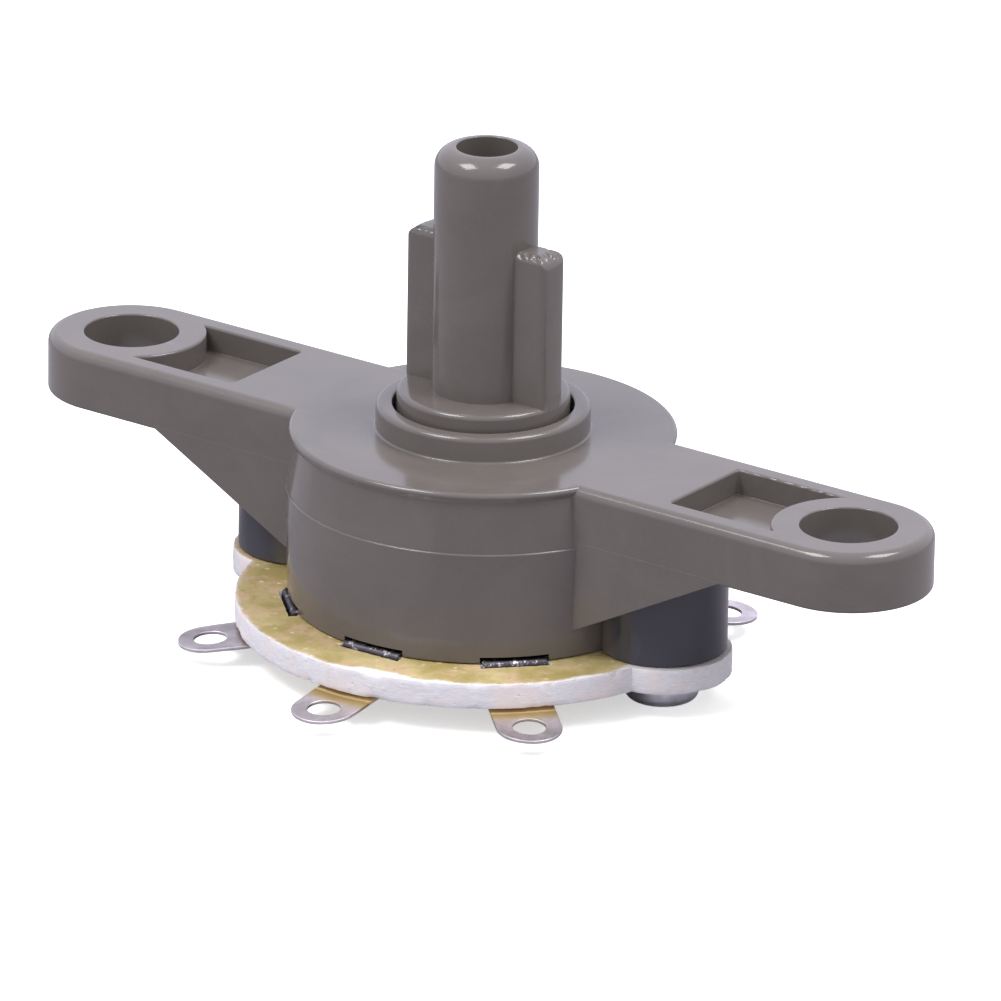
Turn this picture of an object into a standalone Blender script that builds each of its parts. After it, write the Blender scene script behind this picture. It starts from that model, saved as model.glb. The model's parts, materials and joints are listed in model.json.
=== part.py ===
"""Rotary wafer switch with two fixing ears and a winged shaft.

One moulded housing carries a turning rotor. A laminate wafer with six folded solder terminals
closes the housing from below, held by two drive rivets. Inside, two sprung balls give the rotor
its positions and a sprung bridge joins opposite terminals.

Units are metres. +Z points up along the shaft and X runs along the ears. The origin is on the
shaft's axis, level with the heads of the rivets.
"""

import math

import bmesh
import bpy

MM = 0.001
CUTTERS = "cutters"

# Housing: the plate with its ears
EAR_SPACING = 51.0 * MM
EAR_RADIUS = 4.88 * MM
EAR_HOLE_RADIUS = 2.77 * MM
PLATE_THICKNESS = 3.5 * MM
PLATE_EDGE_ROUND = 0.4 * MM
POCKET_DEPTH = 1.5 * MM
POCKET_HALF_WIDTH = 3.42 * MM
POCKET_INNER_X = 15.48 * MM
POCKET_ARC_RADIUS = 4.3 * MM
WEB_KNEE_X = 19.85 * MM
WEB_SLOPE_DEG = 27.9

# Housing: the cup and its collar
CUP_HEIGHT = 10.29 * MM
CUP_RADIUS = 11.3 * MM
CUP_FOOT_RADIUS = 11.12 * MM
CUP_SEAM_STEP = 0.1 * MM
CUP_SEAM_DROP = 3.6 * MM
CUP_RIM_RADIUS = 11.15 * MM
CUP_RIM_LIP = 0.2 * MM
CUP_RIM_ROUND = 0.25 * MM
CUP_WALL = 1.55 * MM
CEILING_THICKNESS = 2.6 * MM
COLLAR_HEIGHT = 1.5 * MM
COLLAR_OUTER_RADIUS = 6.18 * MM
COLLAR_BORE_RADIUS = 5.2 * MM
COLLAR_EDGE_ROUND = 0.3 * MM

# Posts and drive rivets
POST_X = 12.9 * MM
POST_RADIUS = 3.7 * MM
RIVET_HEAD_RADIUS = 2.12 * MM
RIVET_HEAD_HEIGHT = 1.55 * MM
RIVET_HEAD_ROUND = 0.45 * MM
RIVET_SHANK_RADIUS = 1.2 * MM
RIVET_GRIP = 4.8 * MM
RIVET_CLEARANCE = 0.1 * MM

# Wafer
WAFER_RADIUS = 14.15 * MM
WAFER_THICKNESS = 1.5 * MM
WAFER_EAR_RADIUS = 4.0 * MM

# Terminals: a contact pad inside, a fold through the wafer's slot and a solder lug outside
TERMINAL_BEARINGS_DEG = (-134.0, -87.5, -43.5, 46.0, 92.5, 136.5)
TERMINAL_LUG_REACH = (15.7 * MM, 15.85 * MM, 15.85 * MM, 14.4 * MM, 15.85 * MM, 15.7 * MM)
TERMINAL_THICKNESS = 0.2 * MM
TERMINAL_WIDTH = 3.75 * MM
TERMINAL_FOLD_REACH = 11.2 * MM
TERMINAL_FOLD_RADIUS = 0.35 * MM
TERMINAL_PAD_REACH = 5.6 * MM
LUG_HOLE_RADIUS = 0.95 * MM
LUG_DROOP_DEG = 4.5
SLOT_CLEARANCE = 0.12 * MM
SLOT_LENGTH = 0.75 * MM
NOTCH_HEIGHT = 0.4 * MM

# Rotor
SHAFT_HEIGHT = 16.93 * MM
SHAFT_RADIUS = 3.0 * MM
SHAFT_TOP_ROUND = 1.15 * MM
SHAFT_BORE_RADIUS = 1.75 * MM
SHAFT_BORE_DEPTH = 17.5 * MM
FLANGE_RADIUS = 4.98 * MM
FLANGE_HEIGHT = 2.4 * MM
FLANGE_EDGE_ROUND = 0.3 * MM
WING_HEIGHT = 8.9 * MM
WING_REACH = 4.97 * MM
WING_THICKNESS = 2.12 * MM
WING_CORNER_RADIUS = 0.9 * MM
WING_EDGE_ROUND = 0.3 * MM
ROTOR_DISC_THICKNESS = 4.6 * MM
ROTOR_DISC_CLEARANCE = 0.25 * MM
ROTOR_HUB_RADIUS = 5.0 * MM
ROTOR_HUB_DROP = 2.1 * MM

# Positions: the travel, the tooth that limits it and the sprung balls that hold each position
TRAVEL_DEG = 136.5
POSITION_COUNT = 4
TOOTH_WIDTH_DEG = 24.0
TOOTH_PLAY_DEG = 2.0
TOOTH_HEIGHT = 0.9 * MM
TOOTH_INNER_RADIUS = 6.4 * MM
TOOTH_RADIAL_WIDTH = 1.9 * MM
BALL_RADIUS = 1.25 * MM
BALL_TRAVEL = 0.4 * MM
BALL_POCKET_DEPTH = 5.2 * MM
DETENT_WIRE_RADIUS = 0.17 * MM
DETENT_COIL_TURNS = 5

# Contact bridge and its spring
BRIDGE_THICKNESS = 0.4 * MM
BRIDGE_WIDTH = 3.6 * MM
BRIDGE_HALF_LENGTH = 8.5 * MM
BUTTON_REACH = 6.9 * MM
BUTTON_RADIUS = 1.1 * MM
BUTTON_HEIGHT = 0.6 * MM
BUTTON_TENON_RADIUS = 0.5 * MM
CONTACT_COIL_RADIUS = 1.25 * MM
CONTACT_WIRE_RADIUS = 0.2 * MM
CONTACT_COIL_TURNS = 5
CONTACT_SPRING_RECESS = 3.2 * MM

# Clearances
SEAT = 0.05 * MM
RUNNING = 0.1 * MM
SLIP = 0.1 * MM
OVERLAP = 1.0 * MM
ROUND_SEGMENTS = 60
SMALL_SEGMENTS = 24
CORNER_SEGMENTS = 4

# Levels, worked out upwards from the rivet heads
WAFER_BOTTOM_Z = RIVET_HEAD_HEIGHT + SEAT
WAFER_TOP_Z = WAFER_BOTTOM_Z + WAFER_THICKNESS
CUP_BOTTOM_Z = WAFER_TOP_Z + SEAT
PLATE_TOP_Z = CUP_BOTTOM_Z + CUP_HEIGHT
CEILING_Z = PLATE_TOP_Z - CEILING_THICKNESS
CAVITY_RADIUS = CUP_FOOT_RADIUS - CUP_WALL
PAD_TOP_Z = WAFER_TOP_Z + SEAT + TERMINAL_THICKNESS
FLANGE_TOP_Z = PLATE_TOP_Z + FLANGE_HEIGHT
SHAFT_TOP_Z = PLATE_TOP_Z + SHAFT_HEIGHT
DISC_TOP_Z = CEILING_Z - RUNNING
DISC_BOTTOM_Z = DISC_TOP_Z - ROTOR_DISC_THICKNESS
DISC_RADIUS = CAVITY_RADIUS - ROTOR_DISC_CLEARANCE
HUB_BOTTOM_Z = DISC_BOTTOM_Z - ROTOR_HUB_DROP
BALL_Z = DISC_TOP_Z - ROTOR_DISC_THICKNESS / 2
BALL_REACH = CAVITY_RADIUS - SLIP - BALL_RADIUS
BRIDGE_BOTTOM_Z = PAD_TOP_Z + RUNNING + BUTTON_HEIGHT
BRIDGE_TOP_Z = BRIDGE_BOTTOM_Z + BRIDGE_THICKNESS
EAR_X = EAR_SPACING / 2


def clear_objects():
    """Empty the scene of objects."""
    for item in list(bpy.data.objects):
        bpy.data.objects.remove(item, do_unlink=True)


def new_collection(name):
    group = bpy.data.collections.new(name)
    bpy.context.scene.collection.children.link(group)
    return group


def material(name, color, roughness, metallic=0.0):
    made = bpy.data.materials.new(name)
    made.use_nodes = True
    shader = made.node_tree.nodes["Principled BSDF"]
    shader.inputs["Base Color"].default_value = (*color, 1.0)
    shader.inputs["Roughness"].default_value = roughness
    shader.inputs["Metallic"].default_value = metallic
    return made


def place(name, mesh, group):
    item = bpy.data.objects.new(name, mesh)
    group.objects.link(item)
    return item


def arc(center, radius, start_deg, end_deg, segments):
    """Points along an arc in the plane, both ends included."""
    points = []
    for step in range(segments + 1):
        turn = math.radians(start_deg + (end_deg - start_deg) * step / segments)
        points.append((center[0] + radius * math.cos(turn), center[1] + radius * math.sin(turn)))
    return points


def turned(name, profile, group, segments=ROUND_SEGMENTS):
    """A turned solid: a profile of (radius, height) that starts and ends on the axis."""
    mesh = bpy.data.meshes.new(name)
    edges = [(index, index + 1) for index in range(len(profile) - 1)]
    mesh.from_pydata([(radius, 0.0, height) for radius, height in profile], edges, [])
    item = place(name, mesh, group)
    screw = item.modifiers.new("Turn", "SCREW")
    screw.steps = segments
    screw.render_steps = segments
    screw.use_merge_vertices = True
    screw.merge_threshold = 1e-6
    return item


def slab(name, outline, low, high, group):
    """A flat outline in X and Y, drawn up from one height to another."""
    curve = bpy.data.curves.new(name, "CURVE")
    curve.dimensions = "2D"
    curve.fill_mode = "BOTH"
    curve.extrude = (high - low) / 2
    spline = curve.splines.new("POLY")
    spline.points.add(len(outline) - 1)
    for point, (x, y) in zip(spline.points, outline):
        point.co = (x, y, 0.0, 1.0)
    spline.use_cyclic_u = True
    drawn = place(name + "_outline", curve, group)
    drawn.location.z = (low + high) / 2
    return curve_to_mesh(drawn, name, group)


def curve_to_mesh(drawn, name, group):
    """Turn a curve object into a mesh object with its loose caps welded on."""
    bpy.context.view_layer.update()
    seen = drawn.evaluated_get(bpy.context.evaluated_depsgraph_get())
    mesh = bpy.data.meshes.new_from_object(seen)
    shape = bmesh.new()
    shape.from_mesh(mesh)
    bmesh.ops.remove_doubles(shape, verts=shape.verts, dist=1e-7)
    bmesh.ops.recalc_face_normals(shape, faces=shape.faces)
    shape.to_mesh(mesh)
    shape.free()
    item = place(name, mesh, group)
    item.matrix_world = drawn.matrix_world
    bpy.data.objects.remove(drawn, do_unlink=True)
    item.name = name
    return item


def cylinder(name, radius, low, high, group, segments=SMALL_SEGMENTS):
    """An upright cylinder on its object's own axis."""
    shape = bmesh.new()
    bmesh.ops.create_cone(shape, cap_ends=True, segments=segments, radius1=radius, radius2=radius,
                          depth=high - low)
    bmesh.ops.translate(shape, verts=shape.verts, vec=(0.0, 0.0, (low + high) / 2))
    mesh = bpy.data.meshes.new(name)
    shape.to_mesh(mesh)
    shape.free()
    return place(name, mesh, group)


def block(name, size, center, group):
    """A box of a size about a center."""
    shape = bmesh.new()
    bmesh.ops.create_cube(shape, size=1.0)
    bmesh.ops.scale(shape, verts=shape.verts, vec=size)
    bmesh.ops.translate(shape, verts=shape.verts, vec=center)
    mesh = bpy.data.meshes.new(name)
    shape.to_mesh(mesh)
    shape.free()
    return place(name, mesh, group)


def combine(item, others, operation):
    """Join, cut or keep a piece by several shapes at once, gathered in a collection of their own."""
    group = bpy.data.collections.new(f"{item.name}_{operation.lower()}")
    bpy.data.collections[CUTTERS].children.link(group)
    for other in others:
        bpy.data.collections[CUTTERS].objects.unlink(other)
        group.objects.link(other)
        other.hide_render = True
        other.display_type = "WIRE"
    step = item.modifiers.new(operation.title(), "BOOLEAN")
    step.operation = operation
    step.operand_type = "COLLECTION"
    step.collection = group
    step.solver = "EXACT"


def round_edges(item, width, segments=2, angle_deg=40.0):
    bevel = item.modifiers.new("Rounded edges", "BEVEL")
    bevel.width = width
    bevel.segments = segments
    bevel.limit_method = "ANGLE"
    bevel.angle_limit = math.radians(angle_deg)


def turn_to(item, bearing_deg):
    """Turn an object about the shaft's axis."""
    item.rotation_euler.z = math.radians(bearing_deg)
    return item


def position_bearings():
    """The rotor's bearings at its positions, evenly spread over the travel."""
    return [TRAVEL_DEG * step / (POSITION_COUNT - 1) for step in range(POSITION_COUNT)]


def sector(inner, outer, start_deg, end_deg, segments):
    """The outline of a piece of a ring."""
    return arc((0.0, 0.0), outer, start_deg, end_deg, segments) + arc(
        (0.0, 0.0), inner, end_deg, start_deg, segments)


def tooth_outline(clearance, start_deg, end_deg, segments):
    """The stop tooth, or with clearance the channel that it runs in."""
    inner = TOOTH_INNER_RADIUS - clearance
    outer = TOOTH_INNER_RADIUS + TOOTH_RADIAL_WIDTH + clearance
    return sector(inner, outer, start_deg, end_deg, segments)


def cup_profile():
    """The outside of the cup and its collar, with a thin lip, a seam step and a slight draft."""
    seam_z = PLATE_TOP_Z - CUP_SEAM_DROP
    collar_top = PLATE_TOP_Z + COLLAR_HEIGHT
    collar_round = arc((COLLAR_OUTER_RADIUS - COLLAR_EDGE_ROUND, collar_top - COLLAR_EDGE_ROUND),
                       COLLAR_EDGE_ROUND, 90, 0, CORNER_SEGMENTS)
    rim_round = arc((CUP_RIM_RADIUS - CUP_RIM_ROUND, PLATE_TOP_Z - CUP_RIM_ROUND), CUP_RIM_ROUND, 90, 0,
                    CORNER_SEGMENTS)
    return ([(0.0, collar_top)] + collar_round + [(COLLAR_OUTER_RADIUS, PLATE_TOP_Z)] + rim_round + [
        (CUP_RIM_RADIUS - CUP_RIM_LIP, PLATE_TOP_Z - 2 * CUP_RIM_ROUND),
        (CUP_RADIUS - CUP_SEAM_STEP, seam_z),
        (CUP_RADIUS, seam_z - CUP_SEAM_STEP),
        (CUP_FOOT_RADIUS, CUP_BOTTOM_Z),
        (0.0, CUP_BOTTOM_Z)])


def cavity_profile():
    """The collar's bore with its rounded mouth, and the wide chamber below it."""
    top = PLATE_TOP_Z + COLLAR_HEIGHT
    mouth = COLLAR_BORE_RADIUS + COLLAR_EDGE_ROUND / 2
    mouth_round = arc((mouth, top - COLLAR_EDGE_ROUND / 2), COLLAR_EDGE_ROUND / 2, 90, 180, CORNER_SEGMENTS)
    return [(0.0, top + OVERLAP), (mouth, top + OVERLAP)] + mouth_round + [
        (COLLAR_BORE_RADIUS, CEILING_Z),
        (CAVITY_RADIUS, CEILING_Z),
        (CAVITY_RADIUS, CUP_BOTTOM_Z - OVERLAP),
        (0.0, CUP_BOTTOM_Z - OVERLAP)]


def make_arms(tools):
    """Both arms with their webs: the plan's outline kept where the side view covers it."""
    ends = 12
    plan = arc((EAR_X, 0.0), EAR_RADIUS, -90, 90, ends) + arc((-EAR_X, 0.0), EAR_RADIUS, 90, 270, ends)
    arms = slab("arms", plan, CUP_BOTTOM_Z, PLATE_TOP_Z, tools)
    round_edges(arms, PLATE_EDGE_ROUND, 3)
    plate_bottom = PLATE_TOP_Z - PLATE_THICKNESS
    reach = EAR_X + EAR_RADIUS + OVERLAP
    root_x = CAVITY_RADIUS - OVERLAP
    root_z = plate_bottom - (WEB_KNEE_X - root_x) * math.tan(math.radians(WEB_SLOPE_DEG))
    above = PLATE_TOP_Z + OVERLAP
    side = [(-reach, above), (-reach, plate_bottom), (-WEB_KNEE_X, plate_bottom), (-root_x, root_z),
            (root_x, root_z), (WEB_KNEE_X, plate_bottom), (reach, plate_bottom), (reach, above)]
    side_view = slab("side_view", side, -EAR_RADIUS - OVERLAP, EAR_RADIUS + OVERLAP, tools)
    side_view.rotation_euler.x = math.radians(90)
    side_view.location = (0.0, 0.0, 0.0)
    combine(arms, [side_view], "INTERSECT")
    return arms


def make_posts(tools):
    """The two posts that stand on the wafer, each with a blind bore for its rivet."""
    top = PLATE_TOP_Z - PLATE_THICKNESS / 2
    posts = []
    bores = []
    for side, sign in (("left", -1), ("right", 1)):
        post = cylinder("post_" + side, POST_RADIUS, CUP_BOTTOM_Z, top, tools, SMALL_SEGMENTS * 2)
        bore = cylinder("post_bore_" + side, RIVET_SHANK_RADIUS + RIVET_CLEARANCE, CUP_BOTTOM_Z - OVERLAP,
                        CUP_BOTTOM_Z + RIVET_GRIP + RIVET_CLEARANCE, tools, SMALL_SEGMENTS)
        for item in (post, bore):
            item.location.x = sign * POST_X
        posts.append(post)
        bores.append(bore)
    return posts, bores


def make_ear_cuts(tools):
    """The ears' holes, and the moulder's pockets between them and the cup."""
    cuts = []
    for side, sign in (("left", -1), ("right", 1)):
        hole = cylinder("ear_hole_" + side, EAR_HOLE_RADIUS, PLATE_TOP_Z - PLATE_THICKNESS - OVERLAP,
                        PLATE_TOP_Z + OVERLAP, tools, SMALL_SEGMENTS * 2)
        hole.location.x = sign * EAR_X
        half_angle = math.degrees(math.asin(POCKET_HALF_WIDTH / POCKET_ARC_RADIUS))
        curve = arc((EAR_X, 0.0), POCKET_ARC_RADIUS, 180 - half_angle, 180 + half_angle, 11)
        outline = curve + [(POCKET_INNER_X, -POCKET_HALF_WIDTH), (POCKET_INNER_X, POCKET_HALF_WIDTH)]
        pocket = slab("pocket_" + side, outline, PLATE_TOP_Z - POCKET_DEPTH, PLATE_TOP_Z + OVERLAP, tools)
        if sign < 0:
            turn_to(pocket, 180)
        cuts += [hole, pocket]
    return cuts


def make_detent_cuts(tools):
    """One upright groove in the cup's wall for each ball at each position."""
    cuts = []
    radius = BALL_RADIUS + SLIP
    for ball, start in (("right", 0.0), ("left", 180.0)):
        for number, bearing in enumerate(position_bearings(), start=1):
            groove = cylinder(f"groove_{ball}_{number}", radius, BALL_Z - 1.4 * BALL_RADIUS,
                              BALL_Z + 1.4 * BALL_RADIUS, tools, SMALL_SEGMENTS)
            turn = math.radians(start + bearing)
            reach = BALL_REACH + BALL_TRAVEL
            groove.location = (reach * math.cos(turn), reach * math.sin(turn), 0.0)
            cuts.append(groove)
    return cuts


def make_notch_cuts(tools):
    """One low notch in the cup's foot for each terminal."""
    cuts = []
    length = CUP_RADIUS - CAVITY_RADIUS + 2 * OVERLAP
    for number, bearing in enumerate(TERMINAL_BEARINGS_DEG, start=1):
        notch = block(f"notch_{number}",
                      (length, TERMINAL_WIDTH + 2 * SLOT_CLEARANCE, NOTCH_HEIGHT + OVERLAP),
                      ((CAVITY_RADIUS + CUP_RADIUS) / 2, 0.0, CUP_BOTTOM_Z + (NOTCH_HEIGHT - OVERLAP) / 2),
                      tools)
        cuts.append(turn_to(notch, bearing))
    return cuts


def make_stop_channel(tools):
    """The channel in the ceiling whose two ends stop the rotor's tooth."""
    half = TRAVEL_DEG / 2 + TOOTH_WIDTH_DEG / 2 + TOOTH_PLAY_DEG
    outline = tooth_outline(SLIP, -half, half, 24)
    return slab("stop_channel", outline, CEILING_Z - OVERLAP, CEILING_Z + TOOTH_HEIGHT + RUNNING, tools)


def make_housing(parts, tools, finish):
    housing = turned("housing", cup_profile(), parts)
    posts, bores = make_posts(tools)
    combine(housing, [make_arms(tools)] + posts, "UNION")
    cavity = turned("cavity", cavity_profile(), tools)
    cuts = [cavity, make_stop_channel(tools)] + bores + make_ear_cuts(tools)
    cuts += make_detent_cuts(tools) + make_notch_cuts(tools)
    combine(housing, cuts, "DIFFERENCE")
    housing.data.materials.append(finish)
    return housing


def rotor_profile():
    """Bore, rounded shaft end, flange, disc, hub and the contact spring's recess."""
    bore_bottom = SHAFT_TOP_Z - SHAFT_BORE_DEPTH
    shaft_round = arc((SHAFT_RADIUS - SHAFT_TOP_ROUND, SHAFT_TOP_Z - SHAFT_TOP_ROUND), SHAFT_TOP_ROUND,
                      90, 0, 2 * CORNER_SEGMENTS)
    flange_round = arc((FLANGE_RADIUS - FLANGE_EDGE_ROUND, FLANGE_TOP_Z - FLANGE_EDGE_ROUND),
                       FLANGE_EDGE_ROUND, 90, 0, CORNER_SEGMENTS)
    recess_radius = CONTACT_COIL_RADIUS + CONTACT_WIRE_RADIUS + SLIP
    recess_top = DISC_BOTTOM_Z + CONTACT_SPRING_RECESS
    return ([(0.0, bore_bottom), (SHAFT_BORE_RADIUS, bore_bottom), (SHAFT_BORE_RADIUS, SHAFT_TOP_Z)] +
            shaft_round + [(SHAFT_RADIUS, FLANGE_TOP_Z)] + flange_round + [
                (FLANGE_RADIUS, DISC_TOP_Z),
                (DISC_RADIUS, DISC_TOP_Z),
                (DISC_RADIUS, DISC_BOTTOM_Z),
                (ROTOR_HUB_RADIUS, DISC_BOTTOM_Z),
                (ROTOR_HUB_RADIUS, HUB_BOTTOM_Z),
                (recess_radius, HUB_BOTTOM_Z),
                (recess_radius, recess_top),
                (0.0, recess_top)])


def make_wings(tools):
    """The two upright wings on the shaft, their outer faces turned and rounded at the top."""
    wings = []
    top = FLANGE_TOP_Z + WING_HEIGHT
    foot = FLANGE_TOP_Z - FLANGE_HEIGHT / 4
    root = (SHAFT_BORE_RADIUS + SHAFT_RADIUS) / 2
    half = WING_THICKNESS / 2
    half_angle = math.degrees(math.asin(half / WING_REACH))
    plan = arc((0.0, 0.0), WING_REACH, -half_angle, half_angle, CORNER_SEGMENTS) + [(root, half), (root, -half)]
    corner = arc((WING_REACH - WING_CORNER_RADIUS, top - WING_CORNER_RADIUS), WING_CORNER_RADIUS, 90, 0,
                 CORNER_SEGMENTS)
    reach_profile = [(0.0, top + OVERLAP), (corner[0][0], top + OVERLAP)] + corner + [
        (WING_REACH + OVERLAP, corner[-1][1]), (WING_REACH + OVERLAP, foot - OVERLAP), (0.0, foot - OVERLAP)]
    for side, bearing in (("right", 0), ("left", 180)):
        wing = turn_to(slab("wing_" + side, plan, foot, top, tools), bearing)
        round_edges(wing, WING_EDGE_ROUND, 2, 60)
        combine(wing, [turned("wing_reach_" + side, reach_profile, tools)], "INTERSECT")
        wings.append(wing)
    return wings


def make_ball_pockets(tools):
    """A blind radial pocket in the rotor's rim for each ball and its spring."""
    pockets = []
    length = BALL_POCKET_DEPTH + OVERLAP
    for side, bearing in (("right", 0), ("left", 180)):
        pocket = cylinder("ball_pocket_" + side, BALL_RADIUS + SLIP, -length / 2, length / 2, tools,
                          SMALL_SEGMENTS)
        reach = DISC_RADIUS - BALL_POCKET_DEPTH + length / 2
        turn = math.radians(bearing)
        pocket.rotation_euler = (0.0, math.radians(90), turn)
        pocket.location = (reach * math.cos(turn), reach * math.sin(turn), BALL_Z)
        pockets.append(pocket)
    return pockets


def make_rotor(parts, tools, finish):
    rotor = turned("rotor", rotor_profile(), parts)
    start = -TRAVEL_DEG / 2 - TOOTH_WIDTH_DEG / 2
    outline = tooth_outline(0.0, start, start + TOOTH_WIDTH_DEG, 4)
    tooth = slab("stop_tooth", outline, DISC_TOP_Z - TOOTH_HEIGHT, DISC_TOP_Z + TOOTH_HEIGHT, tools)
    combine(rotor, make_wings(tools) + [tooth], "UNION")
    slot_height = ROTOR_HUB_DROP + OVERLAP
    slot = block("bridge_slot", (4 * ROTOR_HUB_RADIUS, BRIDGE_WIDTH + 2 * SLIP, slot_height),
                 (0.0, 0.0, DISC_BOTTOM_Z - slot_height / 2 + SLIP), tools)
    combine(rotor, make_ball_pockets(tools) + [slot], "DIFFERENCE")
    rotor.data.materials.append(finish)
    return rotor


def wafer_outline():
    """A disc with two ears about the rivets, arc by arc."""
    meet_x = (WAFER_RADIUS ** 2 + POST_X ** 2 - WAFER_EAR_RADIUS ** 2) / (2 * POST_X)
    meet_y = math.sqrt(WAFER_RADIUS ** 2 - meet_x ** 2)
    disc_angle = math.degrees(math.atan2(meet_y, meet_x))
    ear_angle = math.degrees(math.atan2(meet_y, meet_x - POST_X))
    outline = arc((POST_X, 0.0), WAFER_EAR_RADIUS, -ear_angle, ear_angle, 16)
    outline += arc((0.0, 0.0), WAFER_RADIUS, disc_angle, 180 - disc_angle, 32)[1:]
    outline += arc((-POST_X, 0.0), WAFER_EAR_RADIUS, 180 - ear_angle, 180 + ear_angle, 16)[1:]
    outline += arc((0.0, 0.0), WAFER_RADIUS, 180 + disc_angle, 360 - disc_angle, 32)[1:-1]
    return outline


def make_wafer(parts, tools, finish):
    wafer = slab("wafer", wafer_outline(), WAFER_BOTTOM_Z, WAFER_TOP_Z, parts)
    low = WAFER_BOTTOM_Z - OVERLAP
    high = WAFER_TOP_Z + OVERLAP
    cuts = []
    for side, sign in (("left", -1), ("right", 1)):
        hole = cylinder("wafer_hole_" + side, RIVET_SHANK_RADIUS + RIVET_CLEARANCE, low, high, tools)
        hole.location.x = sign * POST_X
        cuts.append(hole)
    for number, bearing in enumerate(TERMINAL_BEARINGS_DEG, start=1):
        slot = block(f"wafer_slot_{number}", (SLOT_LENGTH, TERMINAL_WIDTH + 2 * SLOT_CLEARANCE, high - low),
                     (TERMINAL_FOLD_REACH, 0.0, (low + high) / 2), tools)
        cuts.append(turn_to(slot, bearing))
    combine(wafer, cuts, "DIFFERENCE")
    wafer.data.materials.append(finish)
    return wafer


def terminal_path(lug_end):
    """The folded strip's middle line in reach and height: pad, fold down, fold out, lug."""
    half = TERMINAL_THICKNESS / 2
    pad_z = WAFER_TOP_Z + SEAT + half
    under_z = WAFER_BOTTOM_Z - SEAT - half
    top_fold = arc((TERMINAL_FOLD_REACH - TERMINAL_FOLD_RADIUS, pad_z - TERMINAL_FOLD_RADIUS),
                   TERMINAL_FOLD_RADIUS, 90, 0, CORNER_SEGMENTS)
    low_fold = arc((TERMINAL_FOLD_REACH + TERMINAL_FOLD_RADIUS, under_z + TERMINAL_FOLD_RADIUS),
                   TERMINAL_FOLD_RADIUS, 180, 270 - LUG_DROOP_DEG, CORNER_SEGMENTS)
    last_reach, last_z = low_fold[-1]
    drop = (lug_end - last_reach) * math.tan(math.radians(LUG_DROOP_DEG))
    return [(TERMINAL_PAD_REACH, pad_z)] + top_fold + low_fold + [(lug_end, last_z - drop)]


def make_terminal(number, bearing, lug_reach, parts, tools, finish):
    """One folded terminal, trimmed to its plan with a round lug end, and punched."""
    half_width = TERMINAL_WIDTH / 2
    name = f"terminal_{number}"
    path = terminal_path(lug_reach + half_width + OVERLAP)
    mesh = bpy.data.meshes.new(name)
    across = half_width + OVERLAP
    points = [(reach, side * across, height) for reach, height in path for side in (-1, 1)]
    faces = [(2 * step, 2 * step + 2, 2 * step + 3, 2 * step + 1) for step in range(len(path) - 1)]
    mesh.from_pydata(points, [], faces)
    strip = place(name, mesh, parts)
    turn_to(strip, bearing)
    sheet = strip.modifiers.new("Sheet", "SOLIDIFY")
    sheet.thickness = TERMINAL_THICKNESS
    sheet.offset = 0.0
    sheet.use_even_offset = True
    low = -OVERLAP
    high = PAD_TOP_Z + OVERLAP
    plan = arc((lug_reach, 0.0), half_width, -90, 90, 12) + [
        (TERMINAL_PAD_REACH + SEAT, half_width), (TERMINAL_PAD_REACH + SEAT, -half_width)]
    trim = turn_to(slab(name + "_plan", plan, low, high, tools), bearing)
    combine(strip, [trim], "INTERSECT")
    hole = cylinder(name + "_hole", LUG_HOLE_RADIUS, low, high, tools)
    turn = math.radians(bearing)
    hole.location = (lug_reach * math.cos(turn), lug_reach * math.sin(turn), 0.0)
    combine(strip, [hole], "DIFFERENCE")
    strip.data.materials.append(finish)
    return strip


def make_terminals(parts, tools, finish):
    pairs = zip(TERMINAL_BEARINGS_DEG, TERMINAL_LUG_REACH)
    for number, (bearing, lug_reach) in enumerate(pairs, start=1):
        make_terminal(number, bearing, lug_reach, parts, tools, finish)


def make_rivets(parts, finish):
    """Drive rivets: a rounded head under the wafer and a shank up into the post."""
    shank_top = CUP_BOTTOM_Z + RIVET_GRIP
    edge = arc((RIVET_HEAD_RADIUS - RIVET_HEAD_ROUND, RIVET_HEAD_ROUND), RIVET_HEAD_ROUND, 0, -90,
               CORNER_SEGMENTS)
    profile = [(0.0, shank_top), (RIVET_SHANK_RADIUS, shank_top), (RIVET_SHANK_RADIUS, RIVET_HEAD_HEIGHT),
               (RIVET_HEAD_RADIUS, RIVET_HEAD_HEIGHT)] + edge + [(0.0, 0.0)]
    for side, sign in (("left", -1), ("right", 1)):
        rivet = turned("rivet_" + side, profile, parts, SMALL_SEGMENTS)
        rivet.location.x = sign * POST_X
        rivet.data.materials.append(finish)


def coil(name, radius, wire_radius, length, turns, parts, finish):
    """A helical spring along its own +Z, from its own origin."""
    curve = bpy.data.curves.new(name, "CURVE")
    curve.dimensions = "3D"
    curve.bevel_depth = wire_radius
    curve.bevel_resolution = 1
    curve.use_fill_caps = True
    steps = 12 * turns
    spline = curve.splines.new("POLY")
    spline.points.add(steps)
    rise = length - 2 * wire_radius
    for index, point in enumerate(spline.points):
        turn = 2 * math.pi * turns * index / steps
        point.co = (radius * math.cos(turn), radius * math.sin(turn), wire_radius + rise * index / steps, 1.0)
    spring = place(name, curve, parts)
    curve.materials.append(finish)
    return spring


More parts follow.
